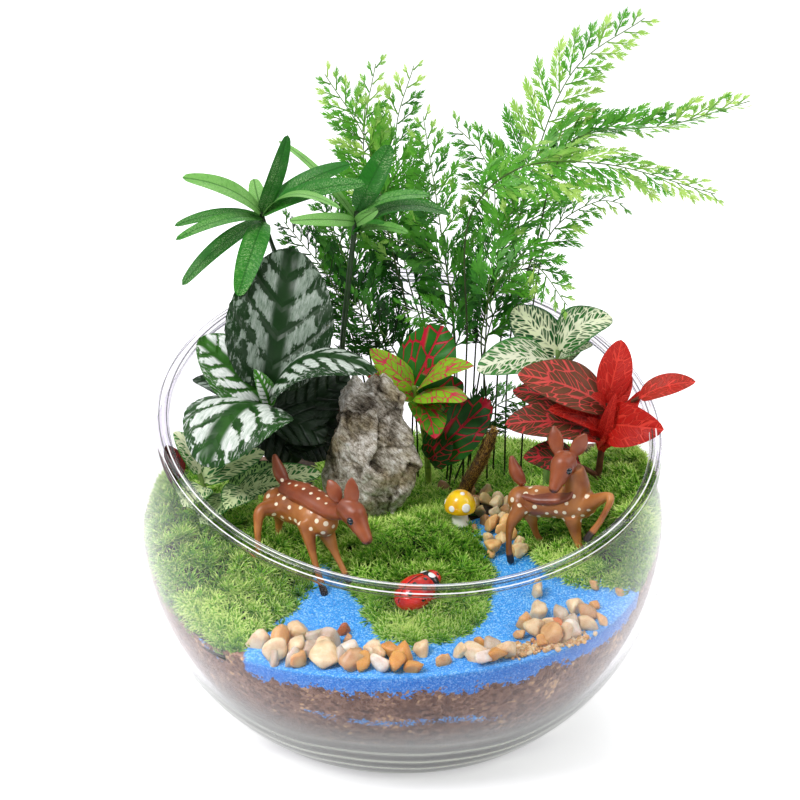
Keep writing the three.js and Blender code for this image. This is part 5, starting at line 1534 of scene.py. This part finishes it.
fawnLooks = {
    "coat": ["#834517", "#a8662d", "#bf7f43"],
    "back": ["#682a12", "#873f1f", "#a0552e"],
    "spot": "#efe2c6",
    "hoof": "#241712",
    "nose": "#5e3024",
    "eye": "#0f1a26",
    "spotSize": 0.72,
    "spotSpacing": 2.9,
    # radii along each limb
    "leg": [3.3, 2.3, 1.45, 1.05, 1.1, 1.35],
    "barrel": [3.4, 5.3, 5.0, 5.6, 3.6],
    "neck": [4.8, 4.2, 3.4],
    "head": [3.3, 4.2, 3.0, 1.8],
    "tail": [1.3, 2.2, 2.3, 1.6, 0.7],
    "ear": [1.0, 2.4, 2.7, 2.1, 0.6],
    "earFlatness": 0.36,
    "eyeRadius": 1.35,
}
fawns = {
    "fawn_left": {
        "torso": [(-40, -14, 80.5), (-33, -20, 80), (-26, -27, 79.5)],
        "saddle": [(-38, -13, 85.5), (-31, -20.5, 85.5), (-23, -29, 84), (-18, -34, 85)],
        "saddleRadii": [3.8, 5.0, 4.9, 4.2, 3.3],
        "saddleFlatness": 0.7,
        "head": [(-19, -34, 88), (-15.5, -37, 86), (-11, -42, 79)],
        "ears": [[(-20, -33, 88), (-23.5, -30, 95)], [(-16, -37, 88), (-16, -36, 98)]],
        "tail": [(-38, -13, 86), (-40.5, -11, 91), (-42, -10, 96)],
        "legs": [
            [(-41, -17, 80), (-46, -20, 80), (-47, -22, 75), (-46.5, -23, 57)],
            [(-40, -12, 78), (-41, -10, 70), (-41.4, -11, 58)],
            [(-31, -27, 79), (-29, -32, 71), (-27, -34, 64), (-25, -36, 54)],
            [(-25, -26, 76), (-21, -28, 67), (-17, -31, 55)],
        ],
    },
    "fawn_right": {
        "torso": [(40.5, -18, 83), (48.5, -20, 83), (57.5, -23, 84)],
        "saddle": [(38.5, -16.5, 85.2), (47, -20, 85), (54.5, -22.5, 87), (56.5, -23, 91), (56, -23.5, 96)],
        "saddleRadii": [4.2, 5.7, 5.5, 4.7, 3.4],
        "saddleFlatness": 0.42,
        "head": [(54.5, -23.5, 99), (52, -25, 98.5), (48.5, -29.5, 91.5)],
        "ears": [[(50, -24, 101), (48.5, -21, 110)], [(54.5, -25.5, 101), (58.5, -27, 109.5)]],
        "tail": [(39.5, -17, 88), (37, -15, 92), (35.5, -14, 97)],
        "neck": [(56, -22.5, 84), (56.5, -23.5, 90), (55, -24, 96.5)],
        "legs": [
            [(39, -21, 82), (35.3, -23, 76.5), (34.8, -23, 68), (35.5, -22, 56)],
            [(41.5, -15, 79), (45, -14, 68), (48, -15, 56)],
            [(55, -24, 80), (57.5, -25, 70), (60.5, -29, 65), (62.5, -31, 56)],
            [(58.5, -25, 84), (66.4, -33, 90), (63.3, -35, 83), (59, -35, 76.5)],
        ],
    },
}


# Painted soft PVC: moulded with a satin skin, brown pigment that drifts a little in tone, and
# thick cream paint in the spots.
def fawnMaterial(name, colours):
    material, tree = startMaterial(name)
    drift = noise(tree, 9, 3)
    coat = ramp(tree, drift, (0.3, 0.5, 0.72), colours)
    for value, code, low, high in (("spot", fawnLooks["spot"], 1.12, 0.88),
            ("hoof", fawnLooks["hoof"], 1.1, 0.8),
                                   ("nose", fawnLooks["nose"], 1.2, 0.7)):
        near = ownValue(tree, value)
        mask = fade(tree, near, low, high, soft=True)
        coat = blend(tree, mask, coat, code)
    hairs = noise(tree, 1.1, 3)
    bump = addNode(tree, "Bump", {"Strength": 0.25, "Distance": 0.0003, "Height": hairs})
    face = addNode(tree, "BsdfPrincipled", {
        "Base Color": coat, "Roughness": 0.4, "Coat Weight": 0.15, "Coat Roughness": 0.3, "Normal": bump,
        "Subsurface Weight": 0.08, "Subsurface Scale": 0.002})
    return finished(material, face)


# glossy black-blue enamel, faintly clouded
def eyeMaterial():
    material, tree = startMaterial("glossy black enamel")
    cloudy = noise(tree, 1.5)
    colour = ramp(tree, cloudy, (0.35, 0.7), ("#05080c", fawnLooks["eye"]))
    face = addNode(tree, "BsdfPrincipled", {"Base Color": colour, "Roughness": 0.12, "Coat Weight": 0.6})
    return finished(material, face)


def limb(path, radii, count=26, sides=20, squeeze=1.0, lean=(0.13, 1, 0.07)):
    line, _ = curveThrough(path, count)
    r = np.interp(np.linspace(0, 1, count), np.linspace(0, 1, len(radii)), radii)
    return skin(ringsRound(line, np.stack([r, r * squeeze], axis=1), sides, lean))


def roundEnd(centre, size):
    return form(ballPoints * size + np.asarray(centre, float), ballFaces)


def nearest(points, spots):
    return np.min(np.linalg.norm(points[:, None, :] - np.asarray(spots, float)[None, :, :], axis=2), axis=1)


def makeFawn(node, seed, coat, back, eye):
    spec = fawns[node]
    rng = np.random.default_rng(seed)
    torso = np.array(spec["torso"], float)
    way = unit(torso[2] - torso[0])
    legs = []
    hooves = [(x, y, max(z, float(groundZ(x, y)) + 0.9)) for x, y, z in (leg[-1] for leg in spec["legs"])]
    for leg, hoof in zip(spec["legs"], hooves):
        legs.append(limb(leg[:-1] + [hoof], fawnLooks["leg"]))
        legs.append(roundEnd(hoof, 1.35))
    spine = [torso[0] - 3 * way, *torso, torso[2] + 3 * way]
    barrel = limb(spine, fawnLooks["barrel"], 30, 28)
    if "neck" in spec:
        legs.append(limb(spec["neck"], fawnLooks["neck"]))
    body, _ = fuse([barrel, roundEnd(torso[0] - 1.5 * way, 4.8), roundEnd(torso[2] + 1.0 * way, 4.9)]
        + legs, 0.42, 8)
    p = body["points"]
    middle, _ = curveThrough(torso, 12)
    upper = (nearest(p, middle) < 6.6) & (p[:, 2] > torso[:, 2].mean()
        - 4.5) & (nearest(p, spec["saddle"]) > 4.4)
    chosen = []
    for spot in rng.permutation(p[upper]):
        if len(chosen) < 60 and (not chosen or nearest(spot[None], chosen)[0] > fawnLooks["spotSpacing"]):
            chosen.append(spot)
    sizes = rng.uniform(0.75, 1.2, len(chosen)) * fawnLooks["spotSize"]
    gaps = np.linalg.norm(p[:, None, :] - np.array(chosen)[None], axis=2) / sizes
    body["values"] = {"spot": gaps.min(axis=1).clip(0, 4), "hoof": nearest(p, hooves) / 3.4,
                      "nose": np.full(len(p), 4.0)}
    addPiece(pieceName(node) + "Body", body, coat, [node + "_body"])

    head = np.array(spec["head"], float)
    snout = unit(head[2] - head[1])
    across = unit(np.cross(snout, [0, 0, 1]))
    crown = np.cross(across, snout)
    saddleSide = unit(np.cross(np.array(spec["saddle"][1], float) - spec["saddle"][0], [0, 0, 1]))
    parts = [limb(spec["saddle"], spec["saddleRadii"], 26, 22, spec["saddleFlatness"], lean=saddleSide)]
    bridge = head[1] + 0.5 * (head[2] - head[1])
    parts.append(limb([head[0], head[1], bridge, head[2]], fawnLooks["head"], 24, 22))
    parts.append(roundEnd(head[1] + 0.7 * crown + 0.6 * snout, 3.7))
    parts.append(roundEnd(head[2] - 0.4 * snout, 1.95))
    parts += [roundEnd(head[1] + 2.6 * snout + 1.6 * crown + hand * 1.9 * across, 1.3) for hand in (-1, 1)]
    parts.append(limb(spec["tail"], fawnLooks["tail"], 20, 16))
    for ear in spec["ears"]:
        ear = np.array(ear, float)
        parts.append(limb([ear[0], ear.mean(axis=0), ear[1]], fawnLooks["ear"], 20, 18,
            fawnLooks["earFlatness"], lean=(1, -0.2, 0.1)))
    shape, _ = fuse(parts, 0.4, 5)
    p = shape["points"]
    rows = []
    line, _ = curveThrough(spec["saddle"], 9)
    for q in line[:7]:
        for hand in (-1, 1):
            rows.append(q + across * 1.8 * hand + [0, 0, 3.0])
    shape["values"] = {"spot": (nearest(p, rows) / 0.62).clip(0, 4), "hoof": np.full(len(p), 4.0),
                       "nose": nearest(p, [head[2] + 1.0 * snout]) / 1.5, "isEye": np.zeros(len(p))}
    eyes = []
    for hand in (-1, 1):
        centre = head[1] + 2.2 * snout + 0.8 * crown + 2.85 * hand * across
        ball = ballPoints * fawnLooks["eyeRadius"] + centre
        eyes.append(form(ball, ballFaces, spot=4.0, hoof=4.0, nose=4.0, isEye=1.0))
    addPiece(pieceName(node) + "Back", joinForms([shape] + eyes), [back, eye], [node + "_back"],
        second="isEye")


fawnCoat = fawnMaterial("painted orange-brown PVC", fawnLooks["coat"])
fawnBackSurface = fawnMaterial("painted red-brown PVC", fawnLooks["back"])
fawnEye = eyeMaterial()
makeFawn("fawn_left", 3, fawnCoat, fawnBackSurface, fawnEye)
makeFawn("fawn_right", 8, fawnCoat, fawnBackSurface, fawnEye)
print("fawns made")


# Mushroom, ladybird and rhizome

mushroom = {
    "place": (19.5, 1, 60),
    "stem": [(3.9, 3.5), (3.7, 5), (3.3, 6.5), (2.8, 9), (2.4, 11.5), (2.3, 13.4)],  # radius and height
    "cap": [(2.4, 12.4), (4.2, 11.4), (5.0, 11.8), (5.3, 12.8), (5.15, 14.4), (4.5, 16.1), (3.5, 17.5),
        (2.1, 18.5), (0.7, 18.8)],
    "dots": [((-0.55, -0.8, 0.25), 1.1), ((0.35, -0.9, 0.35), 1.5), ((0.1, -0.3, 0.95), 1.2),
        ((0.9, 0.1, 0.4), 1.2),
             ((-0.5, 0.75, 0.5), 1.3), ((-0.95, 0.0, 0.45), 1.0), ((0.4, 0.8, 0.35), 1.1)],
    "yellow": "#f9d01a",
    "amber": "#efae0e",
    "white": "#f6f5f0",
}
ladybird = {
    "place": (4, -48, 63.8),
    "size": (7.4, 5.9, 4.9),
    "turn": 0.75,
    "pitch": 0.3,
    # place along the body, size, and the marks with their sizes
    "collar": (6.2, (2.7, 4.3, 3.3), [((0.25, 0.42, 0.8), 1.25), ((0.25, -0.42, 0.8), 1.25)]),
    "face": (8.2, (2.3, 3.1, 2.5), [((0.3, 0.6, 0.6), 0.5), ((0.3, -0.6, 0.6), 0.5)]),
    "spots": [((-0.55, -0.5, 0.65), 0.8), ((0.1, -0.75, 0.6), 0.9), ((0.45, -0.4, 0.75), 0.7),
        ((-0.1, -0.35, 0.95), 0.7),
              ((-0.55, 0.5, 0.65), 0.8), ((0.1, 0.75, 0.6), 0.9), ((0.45, 0.4, 0.75), 0.7),
              ((-0.2, -0.95, 0.1), 0.8)],
    "red": ["#b30d08", "#e0200f"],
}
rhizome = {
    "path": [(20, 24, 60), (22, 21, 72), (27, 17, 84), (31, 15, 95)],
    "hairs": 2600,
    "hairLength": 1.7,
    "colours": ["#3a2410", "#8a6226", "#d3a955"],
}


# turned profile of radius and height round a point
def turned(profile, centre, sides=48, steps=40):
    line, _ = curveThrough(profile, steps)
    turn = 2 * math.pi * np.arange(sides) / sides
    rings = [polar(r, turn, z) + centre for r, z in line]
    return skin(rings)


# Glazed resin: poured and glossy, with thick painted dots whose edges show.
def glazedMaterial(name, base, deep, mark, low, high):
    material, tree = startMaterial(name)
    drift = noise(tree, 5, 2)
    colour = ramp(tree, drift, (0.35, 0.6), (deep, base))
    near = ownValue(tree, "dot")
    mask = fade(tree, near, low, high, soft=True)
    colour = blend(tree, mask, colour, mark)
    bump = addNode(tree, "Bump", {"Strength": 0.5, "Distance": 0.0002, "Height": mask})
    face = addNode(tree, "BsdfPrincipled", {"Base Color": colour, "Roughness": 0.22, "Coat Weight": 0.5,
        "Coat Roughness": 0.1, "Normal": bump})
    return finished(material, face)


def makeMushroom():
    centre = np.array(mushroom["place"], float)
    stem = turned(mushroom["stem"], centre)
    stem["values"]["dot"] = np.full(len(stem["points"]), 4.0)
    white = glazedMaterial("glossy white resin", mushroom["white"], "#e3e2da", mushroom["white"], 1.1, 0.9)
    addPiece("mushroomStem", stem, white, ["mushroom_stem"])
    cap = turned(mushroom["cap"], centre, 64, 60)
    p = cap["points"]
    middle = centre + [0, 0, 12.5]
    gaps = np.full(len(p), 9.0)
    for way, size in mushroom["dots"]:
        spot = middle + unit(way) * 5.4
        gaps = np.minimum(gaps, np.linalg.norm(p - spot, axis=1) / size)
    raised = 0.22 * smooth(gaps, 1.15, 0.8)
    cap["points"] = p + unit(p - middle) * raised[:, None]
    cap["values"]["dot"] = gaps.clip(0, 4)
    colours = mushroom["yellow"], mushroom["amber"], mushroom["white"]
    yellow = glazedMaterial("glossy yellow resin", *colours, 1.05, 0.9)
    addPiece("mushroomCap", cap, yellow, ["mushroom_cap"])


def makeLadybird():
    fine, fineFaces = roundBall(5)
    spin = turnAbout(2, ladybird["turn"]) @ turnAbout(1, -ladybird["pitch"])
    size = np.array(ladybird["size"])
    shell = fine * size
    gaps = np.abs(fine[:, 1]) * size[1] / 0.22 + 4 * (fine[:, 2] < 0.1)  # seam between the wing cases
    groove = 0.25 * smooth(np.abs(shell[:, 1]), 0.6, 0.0) * (fine[:, 2] > 0)
    for way, radius in ladybird["spots"]:
        gaps = np.minimum(gaps, np.linalg.norm(shell - unit(way) * size, axis=1) / radius)
    shell = shell * (1 - groove / size[2])[:, None]
    forms = [form(shell @ spin.T + ladybird["place"], fineFaces, dot=gaps.clip(0, 4), isCollar=0.0)]
    for name in ("collar", "face"):
        along, size, marks = ladybird[name]
        shell = fine * size
        near = np.min([np.linalg.norm(shell - unit(way) * size, axis=1) / radius for way, radius in marks],
            axis=0)
        forms.append(form((shell + [along, 0, 0.2]) @ spin.T + ladybird["place"], fineFaces,
            dot=near.clip(0, 4),
                          isCollar=float(name == "collar")))
    red = glazedMaterial("red enamelled resin", ladybird["red"][1], ladybird["red"][0], "#0c0a0a", 1.1, 0.92)
    black = glazedMaterial("black enamelled resin", "#0c0c0e", "#050506", "#f3f3ef", 1.1, 0.92)
    addPiece("ladybirdFigure", joinForms(forms), [red, black], ["ladybird"], second="isCollar")


# Fern rhizome: a creeping stem hidden in golden scales and hairs.
def rhizomeMaterial():
    material, tree = startMaterial("golden rhizome scales")
    tip = ownValue(tree, "tip")
    mottle = noise(tree, 1.4, 3)
    mixed = maths(tree, "MULTIPLY_ADD", mottle, 0.8, tip)
    colour = ramp(tree, mixed, (0.3, 0.8, 1.4), rhizome["colours"])
    face = addNode(tree, "BsdfPrincipled", {"Base Color": colour, "Roughness": 0.6})
    return finished(material, face)


def makeRhizome():
    rng = np.random.default_rng(12)
    line, _ = curveThrough(rhizome["path"], 60)
    radii = np.interp(np.linspace(0, 1, 60), [0, 0.35, 0.7, 0.95, 1], [2.3, 2.2, 2.2, 1.7, 0.8])
    core = tube(line, radii, 18, tip=0.0)
    core["points"] += 0.3 * cloud(core["points"], 1.6, 3)[:, None] * np.array([1, 1, 0.3])
    count = rhizome["hairs"]
    place = rng.integers(2, 60, count)
    along = unit(np.gradient(line, axis=0))[place]
    out = rng.normal(size=(count, 3))
    out = unit(out - along * (out * along).sum(axis=1)[:, None])
    root = line[place] + out * (radii[place] * 0.92)[:, None] + rng.normal(0, 0.15, (count, 3))
    way = unit(along * rng.uniform(0.7, 1.6, (count, 1)) + out * rng.uniform(0.35, 0.9, (count, 1)))
    long = rhizome["hairLength"] * rng.uniform(0.5, 1.15, (count, 1))
    side = unit(np.cross(way, out)) * 0.16
    points = np.stack([root - side, root + side, root + way * long], axis=1).reshape(-1, 3)
    hairs = form(points, np.arange(3 * count).reshape(-1, 3), tip=np.tile([0.25, 0.25, 0.9], count))
    addPiece("fernRhizome", joinForms([core, hairs]), rhizomeMaterial(), ["rhizome"])


makeMushroom()
makeLadybird()
makeRhizome()
print("figures made")


# Studio: pale floor, soft light, and a camera where the photograph was taken

studio = {
    "floor": "#f2f2f4",
    "sky": "#ffffff",
    "low": "#a3aaaf",  # the dim part of the room, which draws the lines in the glass
    "skyStrength": 0.74,
    "elevation": 22.0,
    "distance": 704,
    "focal": 2094,  # pixels
    "picture": 800,
    "aim": (402.2, 506.4),  # where the middle of the ball falls in the picture
}


def makeFloor():
    mesh = bpy.data.meshes.new("studioFloor")
    turn = 2 * math.pi * np.arange(96) / 96
    ring = polar(4, turn, -0.0002)
    mesh.from_pydata(ring.tolist(), [], [list(range(96))])
    material, tree = startMaterial("white studio paper")
    fibres = noise(tree, 3, 2)
    colour = ramp(tree, fibres, (0.3, 0.7), (studio["floor"], "#f8f8f9"))
    face = addNode(tree, "BsdfPrincipled", {
        "Base Color": colour, "Roughness": 0.7, "Emission Color": "#ffffff", "Emission Strength": 0.5})
    addNode(tree, "OutputMaterial", {"Surface": face})
    mesh.materials.append(material)
    floor = bpy.data.objects.new("studioFloor", mesh)
    bpy.context.collection.objects.link(floor)


def makeRoom():
    world = bpy.data.worlds.new("soft white room")
    world.use_nodes = True
    tree = world.node_tree
    tree.nodes.clear()
    way = addNode(tree, "TexCoord", {}, "Generated")
    sky = ramp(tree, part(tree, way, 2), (0.16, 0.34), (studio["low"], studio["sky"]))
    front = fade(tree, part(tree, way, 1), -0.45, -0.85, 0.7, soft=True)
    sky = blend(tree, front, sky, "#3a3d40")  # behind the camera
    light = addNode(tree, "Background", {"Color": sky, "Strength": studio["skyStrength"]})
    addNode(tree, "OutputWorld", {"Surface": light})
    bpy.context.scene.world = world


def addLight(name, place, size, power, colour="#ffffff"):
    data = bpy.data.lights.new(name, "AREA")
    data.shape, data.size = "DISK", size
    data.energy = power
    data.color = linear(colour)[:3]
    lamp = bpy.data.objects.new(name, data)
    bpy.context.collection.objects.link(lamp)
    lamp.location = place
    target = np.array([0, 0, 0.09])
    back = unit(np.array(place) - target)
    right = unit(np.cross([0, 0.001, 1], back))
    lamp.matrix_world = matrixOf(right, np.cross(back, right), back, place)


def matrixOf(right, up, back, place):
    m = Matrix.Identity(4)
    for column, axis in enumerate((right, up, back, place)):
        for row in range(3):
            m[row][column] = float(axis[row])
    return m


def makeCamera():
    e = math.radians(studio["elevation"])
    back = np.array([0, -math.cos(e), math.sin(e)])
    right = np.array([1.0, 0, 0])
    up = np.cross(back, right)
    place = (bowlCentre + studio["distance"] * back) * mm
    centre = studio["picture"] / 2
    ax, ay = (math.atan((value - centre) / studio["focal"]) for value in studio["aim"])
    tilted = back * math.cos(ay) - up * math.sin(ay)
    up = up * math.cos(ay) + back * math.sin(ay)
    facing = tilted * math.cos(ax) + right * math.sin(ax)
    right = right * math.cos(ax) - tilted * math.sin(ax)
    data = bpy.data.cameras.new("photographView")
    data.sensor_width = 36
    data.lens = 36 * studio["focal"] / studio["picture"]
    data.clip_end = 20
    camera = bpy.data.objects.new("photographView", data)
    bpy.context.collection.objects.link(camera)
    camera.matrix_world = matrixOf(right, up, facing, place)
    bpy.context.scene.camera = camera


makeFloor()
makeRoom()
addLight("softboxLeft", (-0.6, -0.55, 1.0), 0.45, 10)
addLight("softboxRight", (0.8, -0.3, 0.8), 0.6, 2.5)
addLight("softboxBack", (0.1, 0.9, 0.9), 0.8, 3.5)
makeCamera()
bpy.context.scene.view_settings.view_transform = "Standard"
bpy.context.scene.view_settings.exposure = 0.0
print("studio ready")
